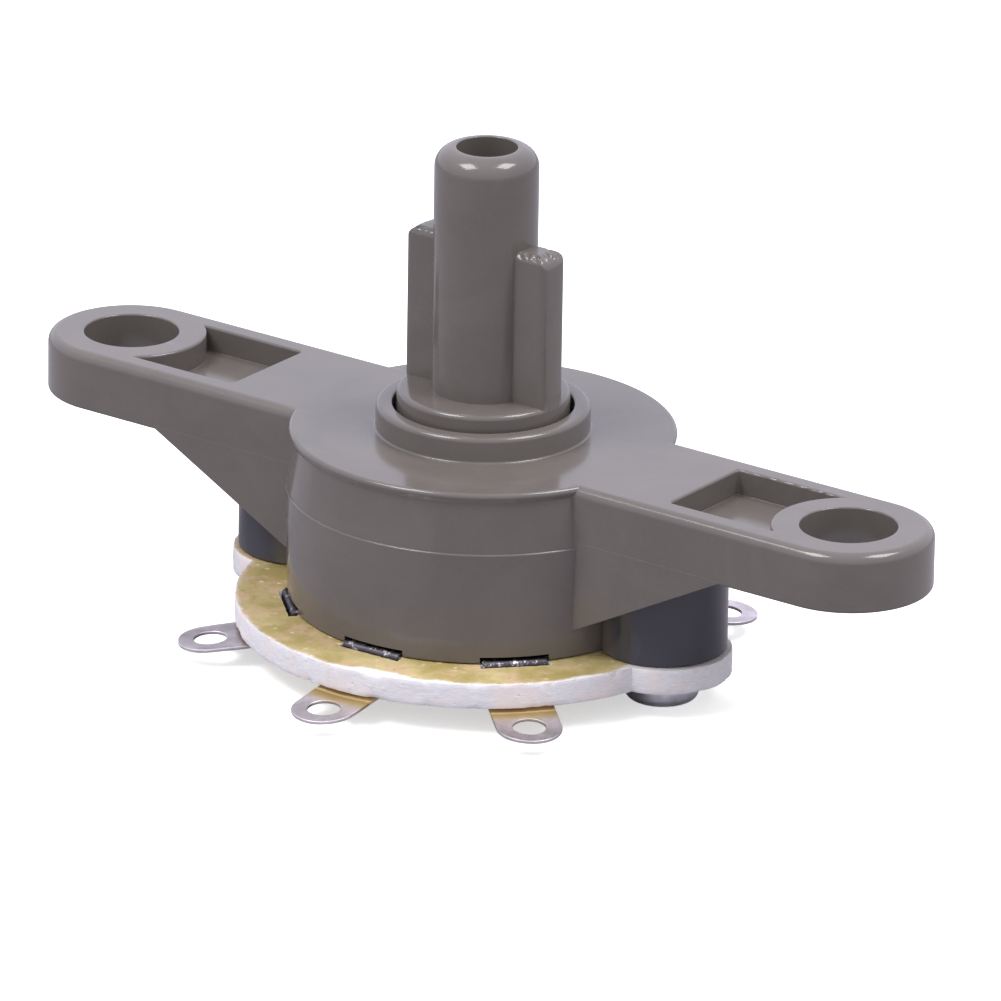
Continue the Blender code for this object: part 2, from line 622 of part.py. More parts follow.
def make_detents(parts, ball_finish, spring_finish):
    """Two balls in the rotor's rim, each pushed outwards by a coil spring."""
    spring_foot = DISC_RADIUS - BALL_POCKET_DEPTH + SLIP
    spring_length = BALL_REACH - BALL_RADIUS - SLIP - spring_foot
    coil_radius = BALL_RADIUS - SLIP - DETENT_WIRE_RADIUS
    for side, bearing in (("right", 0), ("left", 180)):
        turn = math.radians(bearing)
        shape = bmesh.new()
        bmesh.ops.create_uvsphere(shape, u_segments=16, v_segments=10, radius=BALL_RADIUS)
        mesh = bpy.data.meshes.new("detent_ball_" + side)
        shape.to_mesh(mesh)
        shape.free()
        ball = place("detent_ball_" + side, mesh, parts)
        ball.location = (BALL_REACH * math.cos(turn), BALL_REACH * math.sin(turn), BALL_Z)
        ball.data.materials.append(ball_finish)
        spring = coil("detent_spring_" + side, coil_radius, DETENT_WIRE_RADIUS, spring_length,
                      DETENT_COIL_TURNS, parts, spring_finish)
        spring.rotation_euler = (0.0, math.radians(90), turn)
        spring.location = (spring_foot * math.cos(turn), spring_foot * math.sin(turn), BALL_Z)


def make_bridge(parts, tools, blade_finish, button_finish, spring_finish):
    """The contact blade with a button at each end, and the spring that presses it down."""
    half = BRIDGE_WIDTH / 2
    straight = BRIDGE_HALF_LENGTH - half
    plan = arc((straight, 0.0), half, -90, 90, 8) + arc((-straight, 0.0), half, 90, 270, 8)
    blade = slab("bridge_blade", plan, BRIDGE_BOTTOM_Z, BRIDGE_TOP_Z, parts)
    blade.data.materials.append(blade_finish)
    tenon_top = BRIDGE_TOP_Z + SLIP
    button_bottom = BRIDGE_BOTTOM_Z - BUTTON_HEIGHT
    dome = arc((BUTTON_RADIUS - BUTTON_HEIGHT / 2, button_bottom + BUTTON_HEIGHT / 2), BUTTON_HEIGHT / 2, 0, -90,
               CORNER_SEGMENTS)
    profile = [(0.0, tenon_top), (BUTTON_TENON_RADIUS, tenon_top),
               (BUTTON_TENON_RADIUS, BRIDGE_BOTTOM_Z - SEAT),
               (BUTTON_RADIUS, BRIDGE_BOTTOM_Z - SEAT)] + dome + [(0.0, button_bottom)]
    holes = []
    for side, sign in (("left", -1), ("right", 1)):
        hole = cylinder("blade_hole_" + side, BUTTON_TENON_RADIUS + SLIP, BRIDGE_BOTTOM_Z - OVERLAP,
                        BRIDGE_TOP_Z + OVERLAP, tools, SMALL_SEGMENTS // 2)
        hole.location.x = sign * BUTTON_REACH
        holes.append(hole)
        button = turned("contact_button_" + side, profile, parts, SMALL_SEGMENTS)
        button.location.x = sign * BUTTON_REACH
        button.data.materials.append(button_finish)
    combine(blade, holes, "DIFFERENCE")
    spring_top = DISC_BOTTOM_Z + CONTACT_SPRING_RECESS - SLIP
    spring_foot = BRIDGE_TOP_Z + SLIP
    spring = coil("contact_spring", CONTACT_COIL_RADIUS, CONTACT_WIRE_RADIUS, spring_top - spring_foot,
                  CONTACT_COIL_TURNS, parts, spring_finish)
    spring.location.z = spring_foot


def shade_round_pieces(parts):
    """Smooth shading with sharp edges kept, on every mesh piece."""
    for item in parts.objects:
        if item.type == "MESH" and len(item.data.polygons):
            item.data.shade_smooth()
            item.data.set_sharp_from_angle(angle=math.radians(35))


def main():
    clear_objects()
    parts = new_collection("rotary_switch")
    tools = new_collection(CUTTERS)
    taupe = material("taupe_plastic", (0.142, 0.120, 0.110), 0.28)
    laminate = material("glass_laminate", (0.45, 0.36, 0.11), 0.45)
    tinned = material("tinned_brass", (0.45, 0.42, 0.42), 0.35, 1.0)
    rivet_steel = material("rivet_steel", (0.42, 0.42, 0.43), 0.35, 1.0)
    spring_steel = material("spring_steel", (0.35, 0.35, 0.36), 0.3, 1.0)
    bronze = material("bronze_sheet", (0.55, 0.30, 0.14), 0.35, 1.0)
    silver = material("contact_silver", (0.75, 0.74, 0.71), 0.25, 1.0)
    make_housing(parts, tools, taupe)
    make_rotor(parts, tools, taupe)
    make_wafer(parts, tools, laminate)
    make_terminals(parts, tools, tinned)
    make_rivets(parts, rivet_steel)
    make_detents(parts, spring_steel, spring_steel)
    make_bridge(parts, tools, bronze, silver, spring_steel)
    shade_round_pieces(parts)


main()
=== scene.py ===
"""Dresses the packed rotary wafer switch: smooth moulded plastic, cut laminate, tinned terminals.

Every piece is worked out with numpy in the frame's own metres. The origin is on the shaft's axis
at the rivet heads, X runs along the ears and +Z points up the shaft.
"""

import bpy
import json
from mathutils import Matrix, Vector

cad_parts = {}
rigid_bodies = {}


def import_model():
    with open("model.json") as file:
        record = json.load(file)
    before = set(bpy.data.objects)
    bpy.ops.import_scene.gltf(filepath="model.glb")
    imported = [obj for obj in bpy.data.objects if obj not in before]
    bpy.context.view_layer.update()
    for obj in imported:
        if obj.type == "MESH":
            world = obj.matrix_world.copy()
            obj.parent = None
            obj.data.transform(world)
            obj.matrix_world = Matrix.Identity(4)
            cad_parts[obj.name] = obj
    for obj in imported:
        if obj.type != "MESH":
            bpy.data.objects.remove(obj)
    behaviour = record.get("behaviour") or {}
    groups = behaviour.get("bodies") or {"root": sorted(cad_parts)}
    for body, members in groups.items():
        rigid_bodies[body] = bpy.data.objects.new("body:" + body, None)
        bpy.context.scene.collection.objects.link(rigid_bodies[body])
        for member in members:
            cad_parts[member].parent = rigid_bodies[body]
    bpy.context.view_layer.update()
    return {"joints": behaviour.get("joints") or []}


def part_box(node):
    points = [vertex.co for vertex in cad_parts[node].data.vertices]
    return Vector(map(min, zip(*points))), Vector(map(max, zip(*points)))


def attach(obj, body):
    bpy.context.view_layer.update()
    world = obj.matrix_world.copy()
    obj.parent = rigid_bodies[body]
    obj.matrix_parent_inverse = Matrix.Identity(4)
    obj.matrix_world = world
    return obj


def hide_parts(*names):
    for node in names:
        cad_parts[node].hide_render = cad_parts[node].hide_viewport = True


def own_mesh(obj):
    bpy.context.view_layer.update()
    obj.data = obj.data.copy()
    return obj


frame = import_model()

import json
import math

import bmesh
import bpy
import numpy as np
from bpy.props import FloatProperty, FloatVectorProperty, PointerProperty
from mathutils import Matrix

bl_info = {
    "name": "Rotary Wafer Switch",
    "version": (1, 0, 0),
    "blender": (4, 5, 0),
    "location": "3D View > Sidebar > Switch",
    "description": "Builds a rotary wafer switch with two fixing ears and a winged shaft",
    "category": "Object",
}

MM = 0.001
PER_MM = 1000.0
SEAT = 0.05 * MM
RUNNING = 0.1 * MM
SLIP = 0.1 * MM
OVERLAP = 1.0 * MM
ROUND_STEPS = 160
SMALL_STEPS = 72
EDGE_STEPS = 6
SEED = 11

# Levels that the frame gives
CUP_BOTTOM_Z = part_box("housing")[0].z
COLLAR_TOP_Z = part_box("housing")[1].z
SHAFT_TOP_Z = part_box("rotor")[1].z
HUB_BOTTOM_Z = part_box("rotor")[0].z
WAFER_BOTTOM_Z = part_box("wafer")[0].z
WAFER_TOP_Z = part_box("wafer")[1].z
RIVET_X = (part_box("rivet_right")[0].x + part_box("rivet_right")[1].x) / 2
RIVET_TOP_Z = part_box("rivet_right")[1].z
BALL_REACH = (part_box("detent_ball_right")[0].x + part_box("detent_ball_right")[1].x) / 2
BALL_Z = (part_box("detent_ball_right")[0].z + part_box("detent_ball_right")[1].z) / 2
BLADE_BOTTOM_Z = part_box("bridge_blade")[0].z
BLADE_TOP_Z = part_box("bridge_blade")[1].z

# Travels that the frame gives
JOINTS = {joint["name"]: joint for joint in frame["joints"]}
TRAVEL_DEG = JOINTS["shaft_turn"]["range_deg"][1]

TERMINAL_BEARINGS_DEG = (-134.0, -87.5, -43.5, 46.0, 92.5, 136.5)
LUG_REACH = (15.7 * MM, 15.85 * MM, 15.85 * MM, 14.4 * MM, 15.85 * MM, 15.7 * MM)
LUG_DROOP_DEG = 4.5
WEB_SLOPE_DEG = 27.9
POSITION_COUNT = 4
TOOTH_WIDTH_DEG = 24.0
TOOTH_PLAY_DEG = 2.0
TOOTH_HEIGHT = 0.9 * MM
TOOTH_INNER_RADIUS = 6.4 * MM
TOOTH_OUTER_RADIUS = 8.3 * MM
COIL_TURNS = 5
STAINED_TERMINALS = (2, 3)


def length(label, millimetres, description):
    """A length that the user may change, kept in metres."""
    return FloatProperty(name=label, description=description, default=millimetres * MM, min=0.0,
                         subtype="DISTANCE", unit="LENGTH", precision=5)


def tone(label, rgb, description):
    """A colour that the user may change."""
    return FloatVectorProperty(name=label, description=description, default=rgb, size=3, min=0.0, max=1.0,
                               subtype="COLOR")


class SwitchHousingSizes(bpy.types.PropertyGroup):
    """Sizes of the moulded housing."""

    ear_x: length("Ear reach", 25.5, "Distance of each fixing hole from the shaft")
    ear_radius: length("Ear radius", 4.88, "Outer radius of each ear and half the width of the arms")
    ear_hole: length("Ear hole", 2.77, "Radius of each fixing hole")
    plate: length("Plate thickness", 3.5, "Thickness of the arms")
    plate_round: length("Plate edge", 0.6, "Rounding along the top edge of the arms")
    pocket_depth: length("Pocket depth", 1.5, "Depth of the pocket beside each ear")
    pocket_half_width: length("Pocket half width", 3.34, "Half the width of each pocket")
    pocket_inner_x: length("Pocket start", 15.58, "Where each pocket starts, from the shaft")
    pocket_arc: length("Pocket arc", 4.4, "Radius of the wall left standing round each fixing hole")
    web_knee_x: length("Web knee", 19.85, "Where each web leaves the underside of its arm")
    web_proud: length("Web step", 0.012, "How far the webs stand out past the sides of the arms")
    cup_radius: length("Cup radius", 11.3, "Radius of the cup below its seam")
    cup_foot: length("Cup foot", 11.12, "Radius of the cup at its foot")
    cup_wall: length("Cup wall", 1.55, "Wall thickness at the foot of the cup")
    seam_drop: length("Seam drop", 3.6, "Depth of the seam below the top face")
    seam_step: length("Seam step", 0.1, "How far the cup steps out below the seam")
    rim_radius: length("Rim radius", 11.15, "Radius of the rim at the top face")
    rim_lip: length("Rim lip", 0.2, "Undercut below the rim")
    rim_round: length("Rim edge", 0.25, "Rounding of the rim")
    ceiling: length("Ceiling", 2.6, "Thickness of the housing's top over the rotor")
    collar_height: length("Collar height", 1.5, "Height of the collar round the shaft")
    collar_radius: length("Collar radius", 6.18, "Outer radius of the collar")
    collar_bore: length("Collar bore", 5.2, "Radius of the opening that the rotor's flange turns in")
    collar_round: length("Collar edge", 0.3, "Rounding of the collar's outer edge")
    post_radius: length("Post radius", 3.7, "Radius of the posts that stand on the wafer")


class SwitchRotorSizes(bpy.types.PropertyGroup):
    """Sizes of the rotor with its shaft and wings."""

    shaft_radius: length("Shaft radius", 3.0, "Outer radius of the shaft")
    shaft_round: length("Shaft end", 1.15, "Rounding at the top of the shaft")
    bore_radius: length("Bore radius", 1.75, "Radius of the shaft's bore")
    bore_depth: length("Bore depth", 17.5, "Depth of the shaft's bore")
    flange_radius: length("Flange radius", 4.98, "Radius of the flange inside the collar")
    flange_height: length("Flange height", 2.4, "Height of the flange's face over the housing's top face")
    flange_round: length("Flange edge", 0.3, "Rounding of the flange's edge")
    wing_height: length("Wing height", 9.05, "Height of the wings over the flange")
    wing_reach: length("Wing reach", 4.97, "Radius of the wings' outer faces about the axis")
    wing_thickness: length("Wing thickness", 2.12, "Thickness of each wing")
    wing_corner: length("Wing corner", 0.9, "Radius of the wings' upper corner")
    wing_round: length("Wing edge", 0.4, "Rounding along the wings' upright edges")
    wing_crown: length("Wing crown", 0.5, "Rounding along the wings' top edges")
    disc_thickness: length("Disc thickness", 4.6, "Thickness of the disc that carries the balls")
    disc_clearance: length("Disc clearance", 0.25, "Gap between the disc and the cup's wall")
    hub_radius: length("Hub radius", 5.0, "Radius of the hub that drives the bridge")
    spring_recess: length("Spring recess", 3.2, "Depth of the contact spring's recess in the disc")


class SwitchWaferSizes(bpy.types.PropertyGroup):
    """Sizes of the laminate wafer, its rivets and its terminals."""

    wafer_radius: length("Wafer radius", 14.15, "Radius of the wafer's disc")
    wafer_ear: length("Wafer ear", 4.0, "Radius of the wafer's ears about the rivets")
    chip: length("Edge chipping", 0.07, "How deep the cut edge is chipped")
    rivet_head: length("Rivet head", 2.12, "Radius of the rivets' heads")
    rivet_height: length("Rivet head height", 1.55, "Height of the rivets' heads")
    rivet_round: length("Rivet edge", 0.45, "Rounding of the rivets' heads")
    rivet_shank: length("Rivet shank", 1.2, "Radius of the rivets' shanks")
    sheet: length("Terminal sheet", 0.2, "Thickness of the terminals' sheet")
    terminal_width: length("Terminal width", 3.75, "Width of each terminal")
    fold_reach: length("Fold reach", 11.2, "Distance of the terminals' fold from the axis")
    fold_radius: length("Fold radius", 0.25, "Radius of the folds at the sheet's middle")
    pad_reach: length("Pad reach", 5.65, "Distance of the contact pads' inner end from the axis")
    lug_hole: length("Lug hole", 0.95, "Radius of the hole in each solder lug")
    slot_length: length("Slot length", 0.52, "Radial length of the wafer's slots")
    slot_clearance: length("Slot clearance", 0.12, "Room beside a terminal in its slot")
    notch_height: length("Notch height", 0.4, "Height of the notches that let the terminals into the cup")


class SwitchContactSizes(bpy.types.PropertyGroup):
    """Sizes of the balls, the springs and the contact bridge."""

    ball_radius: length("Ball radius", 1.25, "Radius of the detent balls")
    ball_travel: length("Ball travel", 0.4, "How far a ball moves out into a groove")
    ball_pocket: length("Ball pocket", 5.2, "Depth of the rotor's pocket for a ball and its spring")
    ball_wire: length("Detent wire", 0.17, "Wire radius of the detent springs")
    blade_width: length("Blade width", 3.6, "Width of the bridge blade")
    blade_half_length: length("Blade half length", 8.5, "Half the length of the bridge blade")
    button_reach: length("Button reach", 6.9, "Distance of the contact buttons from the axis")
    button_radius: length("Button radius", 1.1, "Radius of the contact buttons")
    button_height: length("Button height", 0.6, "Height of the contact buttons below the blade")
    tenon_radius: length("Button tenon", 0.5, "Radius of the buttons' tenons")
    coil_radius: length("Contact coil", 1.25, "Radius of the contact spring's coil")
    coil_wire: length("Contact wire", 0.2, "Wire radius of the contact spring")


class SwitchFinishes(bpy.types.PropertyGroup):
    """Colours of the switch."""

    taupe: tone("Taupe plastic", (0.122, 0.106, 0.100), "Colour of the housing and the rotor")
    # Painted shade: the post colour is darker and bluer than the taupe. It stands in for the arms' shade on
    # the posts and their dark reflection.
    post_painted_shade: tone("Post plastic", (0.044, 0.043, 0.055), "Colour of the duller posts")
    laminate: tone("Laminate face", (0.45, 0.35, 0.13), "Colour of the wafer's faces")
    laminate_pale: tone("Laminate, pale", (0.57, 0.47, 0.24), "Colour of the clouds in the wafer's faces")
    laminate_blush: tone("Laminate, blush", (0.62, 0.42, 0.30), "Colour of the ruddy patches in the faces")
    laminate_speck: tone("Laminate, specks", (0.70, 0.62, 0.42), "Colour of the specks in the faces")
    laminate_pit: tone("Laminate, pits", (0.24, 0.17, 0.08), "Colour of the pits in the faces")
    laminate_rim: tone("Laminate, slot rim", (0.66, 0.58, 0.40), "Colour of the torn rims of the slots")
    laminate_edge: tone("Laminate edge", (0.78, 0.76, 0.81), "Colour of the wafer's cut edge")
    edge_blush: tone("Laminate edge, blush", (0.86, 0.72, 0.70), "Colour of the ruddy patches in the edge")
    tin: tone("Tin", (0.66, 0.60, 0.60), "Colour of the tinned terminals")
    # Painted shade: a near-black laid in specks round the terminals' folds, where they sit in the cup's
    # notches and the wafer's slots.
    painted_fold_shade: tone("Grime", (0.04, 0.035, 0.04), "Colour of the grime at the terminals' folds")
    resin: tone("Resin", (0.32, 0.215, 0.055), "Colour of the resin on the stained lugs")
    # Painted light: the resin under the board's edge is given a lighter colour than the stain's own, to
    # offset the board's shadow.
    painted_lit_resin: tone("Resin, thin", (0.92, 0.70, 0.36), "Colour of that resin under the board")
    rivet: tone("Rivet", (0.95, 0.95, 0.97), "Colour of the drive rivets")
    bronze: tone("Bronze", (0.55, 0.30, 0.14), "Colour of the bridge blade")
    silver: tone("Silver", (0.75, 0.74, 0.71), "Colour of the contact buttons")
    steel: tone("Steel", (0.35, 0.35, 0.36), "Colour of the balls and the springs")


class SwitchStageSettings(bpy.types.PropertyGroup):
    """The floor and the light round the switch."""

    floor_tone: tone("Floor", (0.84, 0.84, 0.86), "Colour of the floor")
    bounce_tone: tone("Bounce", (0.34, 0.33, 0.38), "Colour of the light that the floor throws back up")
    floor_glow: FloatProperty(name="Floor glow", description="Light of the floor's own that the camera sees",
                              default=0.55, min=0.0)
    room_strength: FloatProperty(name="Room strength", description="Strength of the light from all round",
                                 default=0.8, min=0.0)
    mirrored_tone: tone("Backdrop", (0.80, 0.82, 1.0), "Colour of the backdrop as the switch mirrors it")
    mirrored_strength: FloatProperty(name="Backdrop strength", default=1.35, min=0.0,
                                     description="Strength of the mirrored backdrop")
    box_power: FloatProperty(name="Soft box power", description="Power of each soft box over the switch",
                             default=3.2, min=0.0, unit="POWER")


# Outlines and surfaces


def arc(center, radius, start_deg, end_deg, steps=EDGE_STEPS):
    """Points center + radius * (cos t, sin t) for evenly spread angles t, both ends included."""
    turn = np.radians(np.linspace(start_deg, end_deg, steps + 1))
    return np.stack((center[0] + radius * np.cos(turn), center[1] + radius * np.sin(turn)), axis=1)


def chain(*parts):
    """Points and runs of points joined into one list, as an array."""
    return np.concatenate([np.reshape(np.asarray(part, float), (-1, 2)) for part in parts])


def rounded_corner(before, corner, after, radius, steps=EDGE_STEPS):
    """The arc of a radius that touches both sides of a corner, from the first side to the second."""
    before, corner, after = (np.asarray(point, float) for point in (before, corner, after))
    first = (before - corner) / np.linalg.norm(before - corner)
    second = (after - corner) / np.linalg.norm(after - corner)
    half = math.acos(float(np.clip(first @ second, -1.0, 1.0))) / 2
    middle = (first + second) / np.linalg.norm(first + second)
    center = corner + middle * radius / math.sin(half)
    reach = radius / math.tan(half)
    start = corner + first * reach - center
    end = corner + second * reach - center
    start_angle = math.atan2(start[1], start[0])
    sweep = (math.atan2(end[1], end[0]) - start_angle + math.pi) % (2 * math.pi) - math.pi
    turn = start_angle + sweep * np.linspace(0.0, 1.0, steps + 1)
    return np.stack((center[0] + radius * np.cos(turn), center[1] + radius * np.sin(turn)), axis=1)


def spread(outline, spacing):
    """The closed outline with points added so that none are further apart than the spacing."""
    after = np.roll(outline, -1, axis=0)
    counts = np.maximum(1, np.ceil(np.linalg.norm(after - outline, axis=1) / spacing)).astype(int)
    index = np.repeat(np.arange(len(outline)), counts)
    starts = np.repeat(np.cumsum(counts) - counts, counts)
    share = ((np.arange(counts.sum()) - starts) / np.repeat(counts, counts))[:, None]
    return outline[index] * (1 - share) + after[index] * share


def side_normals(outline):
    """Outward mitred normals of a closed outline that runs counterclockwise.

    Each is the sum of its two sides' unit normals, divided by 1 plus their dot product. The divisor is held
    to 0.4 or more, which keeps sharp corners short.
    """
    after = np.roll(outline, -1, axis=0) - outline
    normal = np.stack((after[:, 1], -after[:, 0]), axis=1)
    normal /= np.linalg.norm(normal, axis=1, keepdims=True)
    previous = np.roll(normal, 1, axis=0)
    return (normal + previous) / np.maximum(0.4, 1 + np.sum(normal * previous, axis=1, keepdims=True))


def edge_rings(low, high, low_round, high_round, steps=EDGE_STEPS):
    """Levels and insets up a wall whose edges are quarter circles.

    Near an edge the inset is r * (1 - cos t) at r * (1 - sin t) from the edge. A negative rounding flares
    the wall outwards, and the wall then runs on past the edge.
    """
    turn = np.linspace(0.0, math.pi / 2, steps + 1)
    rings = []
    if low_round < 0:
        rings.append([[low - OVERLAP, low_round]])
    depth = abs(low_round)
    rings.append(np.stack((low + depth * (1 - np.sin(turn)), low_round * (1 - np.cos(turn))), axis=1)[::-1])
    depth = abs(high_round)
    rings.append(np.stack((high - depth * (1 - np.sin(turn)), high_round * (1 - np.cos(turn))), axis=1))
    if high_round < 0:
        rings.append([[high + OVERLAP, high_round]])
    return np.concatenate(rings)


def ripple(points, reach, seed=SEED, waves=7):
    """A smooth random height for each point: a sum of sine waves in random directions, about -1 to 1."""
    draw = np.random.default_rng(seed)
    heading = draw.normal(size=(waves, points.shape[-1]))
    heading *= (2 * math.pi / reach) * draw.uniform(0.6, 1.6, (waves, 1)) / np.linalg.norm(
        heading, axis=1, keepdims=True)
    phase = draw.uniform(0.0, 2 * math.pi, waves)
    return np.sin(points @ heading.T + phase).sum(axis=-1) / math.sqrt(waves)


def grid_faces(rows, columns, closed_rows=False, closed_columns=True):
    """Quads between neighbours of a grid of points, row by row."""
    row = np.arange(rows if closed_rows else rows - 1)[:, None]
    column = np.arange(columns if closed_columns else columns - 1)[None, :]
    next_row = (row + 1) % rows
    next_column = (column + 1) % columns
    corners = (row * columns + column, row * columns + next_column,
               next_row * columns + next_column, next_row * columns + column)
    return np.stack(corners, axis=-1).reshape(-1, 4)


def shell(name, grid, closed_rows=False, cap_ends=False):
    """A mesh object from a grid of points whose columns close: poles are welded and ends may be capped."""
    rows, columns = grid.shape[:2]
    faces = grid_faces(rows, columns, closed_rows).tolist()
    if cap_ends:
        faces.append(list(range(columns))[::-1])
        faces.append(list(range((rows - 1) * columns, rows * columns)))
    mesh = bpy.data.meshes.new(name)
    mesh.from_pydata(grid.reshape(-1, 3).tolist(), [], faces)
    solid = bmesh.new()
    solid.from_mesh(mesh)
    bmesh.ops.remove_doubles(solid, verts=solid.verts, dist=1e-8)
    bmesh.ops.dissolve_degenerate(solid, edges=solid.edges, dist=1e-9)
    bmesh.ops.recalc_face_normals(solid, faces=solid.faces)
    solid.to_mesh(mesh)
    solid.free()
    item = bpy.data.objects.new(name, mesh)
    bpy.context.scene.collection.objects.link(item)
    return item


def turned_grid(profile, steps):
    """Points (r cos t, r sin t, z) for each (r, z) of the profile and each angle t round the axis."""
    turn = np.linspace(0.0, 2 * math.pi, steps, endpoint=False)
    radius = profile[:, :1]
    return np.stack((radius * np.cos(turn), radius * np.sin(turn),
                     np.repeat(profile[:, 1:], steps, axis=1)), axis=-1)


def turned(name, profile, steps=ROUND_STEPS, move=None):
    """A turned solid whose profile of (radius, height) starts and ends on the axis."""
    grid = turned_grid(np.asarray(profile, float), steps)
    return shell(name, grid if move is None else move(grid))


def plug(radius, start, end):
    """The profile of a plain cylinder from one level to another."""
    return chain((0.0, start), (radius, start), (radius, end), (0.0, end))


def strip(start, end, half_width):
    """The outline of a rectangle that runs along X."""
    return np.array(((start, -half_width), (end, -half_width), (end, half_width), (start, half_width)))


def slab(name, outline, rings, move=None, roughen=None):
    """A solid whose wall carries an outline through (level, inset) rings, closed by flat ends.

    A point is outline - inset * normal at its ring's level. roughen gives an extra inset from the points.
    """
    rings = np.asarray(rings, float)
    normal = side_normals(outline)
    inset = np.repeat(rings[:, 1:], len(outline), axis=1)
    flat = outline[None] - inset[..., None] * normal[None]
    grid = np.concatenate((flat, np.repeat(rings[:, None, :1], len(outline), axis=1)), axis=-1)
    if roughen is not None:
        grid[..., :2] -= roughen(grid)[..., None] * normal[None]
    return shell(name, grid if move is None else move(grid), cap_ends=True)


def bearing(degrees):
    """A move that turns points about the shaft's axis."""
    turn = math.radians(degrees)
    matrix = np.array(((math.cos(turn), -math.sin(turn), 0.0),
                       (math.sin(turn), math.cos(turn), 0.0),
                       (0.0, 0.0, 1.0)))
    return lambda grid: grid @ matrix.T


def shift(x=0.0, y=0.0, z=0.0):
    """A move along the axes."""
    return lambda grid: grid + np.array((x, y, z))


def standing():
    """A move that stands an outline up: its X stays, its Y becomes height and its levels become depth."""
    return lambda grid: np.stack((grid[..., 0], -grid[..., 2], grid[..., 1]), axis=-1)


def lying(degrees, height):
    """A move that lays a turned shape along a bearing at a height: its own height becomes reach."""
    about = bearing(degrees)
    return lambda grid: about(np.stack((grid[..., 2], grid[..., 1], -grid[..., 0]), axis=-1)
                              + np.array((0.0, 0.0, height)))


# Joining, cutting and finishing


def gather(items, name):
    """Put tools in a collection of their own."""
    group = bpy.data.collections.new(name)
    bpy.context.scene.collection.children.link(group)
    for item in items:
        bpy.context.scene.collection.objects.unlink(item)
        group.objects.link(item)
    return group


def settle(item):
    """Replace an object's mesh by what its modifiers make of it, and drop the modifiers."""
    bpy.context.view_layer.update()
    seen = item.evaluated_get(bpy.context.evaluated_depsgraph_get())
    mesh = bpy.data.meshes.new_from_object(seen, preserve_all_data_layers=True,
                                           depsgraph=bpy.context.evaluated_depsgraph_get())
    item.modifiers.clear()
    item.data = mesh
    return item


def combine(item, tools, operation):
    """Join an object with tools, or cut it with them, all in one exact step, and delete the tools."""
    group = gather(tools, item.name + "_tools")
    step = item.modifiers.new(operation.title(), "BOOLEAN")
    step.operation = operation
    step.operand_type = "COLLECTION"
    step.collection = group
    step.solver = "EXACT"
    settle(item)
    if not len(item.data.polygons):
        raise RuntimeError(f"{item.name} came out empty")
    for tool in list(group.objects):
        bpy.data.objects.remove(tool, do_unlink=True)
    bpy.data.collections.remove(group)
    return item


def smooth(item, crease_deg=32.0):
    """Smooth shading that keeps creases, with normals weighted by the size of the faces."""
    item.data.shade_smooth()
    item.data.set_sharp_from_angle(angle=math.radians(crease_deg))
    weigh = item.modifiers.new("Weighted normals", "WEIGHTED_NORMAL")
    weigh.keep_sharp = True
    weigh.weight = 75
    return settle(item)


def dress(item, finish, body, node):
    """Give a finished piece its material and its body, name it after the CAD node that it stands for and hide
    that node.
    """
    item.data.materials.clear()
    item.data.materials.append(finish)
    item.name = node + "_visual"
    item.data.name = item.name
    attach(item, body)
    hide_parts(node)
    return item


# Shader maths


class Socket:
    """A node's output that takes part in plain expressions: +, -, * and ** add Math nodes."""

    def __init__(self, tree, output):
        self.tree = tree
        self.output = output

    def feed(self, target, value):
        """Link a socket, or set a number."""
        if isinstance(value, Socket):
            self.tree.links.new(value.output, target)
        else:
            target.default_value = value

    def math(self, operation, *values, clamp=False):
        """One Math node on sockets and numbers."""
        node = self.tree.nodes.new("ShaderNodeMath")
        node.operation = operation
        node.use_clamp = clamp
        for target, value in zip(node.inputs, values):
            self.feed(target, value)
        return Socket(self.tree, node.outputs[0])

    def __add__(self, other):
        return self.math("ADD", self, other)

    def __radd__(self, other):
        return self.math("ADD", other, self)

    def __sub__(self, other):
        return self.math("SUBTRACT", self, other)

    def __rsub__(self, other):
        return self.math("SUBTRACT", other, self)

    def __mul__(self, other):
        return self.math("MULTIPLY", self, other)

    def __rmul__(self, other):
        return self.math("MULTIPLY", other, self)

    def __pow__(self, other):
        return self.math("POWER", self, other)

    def __abs__(self):
        return self.math("ABSOLUTE", self)

    def least(self, other):
        """The smaller of the two."""
        return self.math("MINIMUM", self, other)

    def most(self, other):
        """The larger of the two."""
        return self.math("MAXIMUM", self, other)

    def held(self):
        """Kept between 0 and 1."""
        return self.math("ADD", self, 0.0, clamp=True)


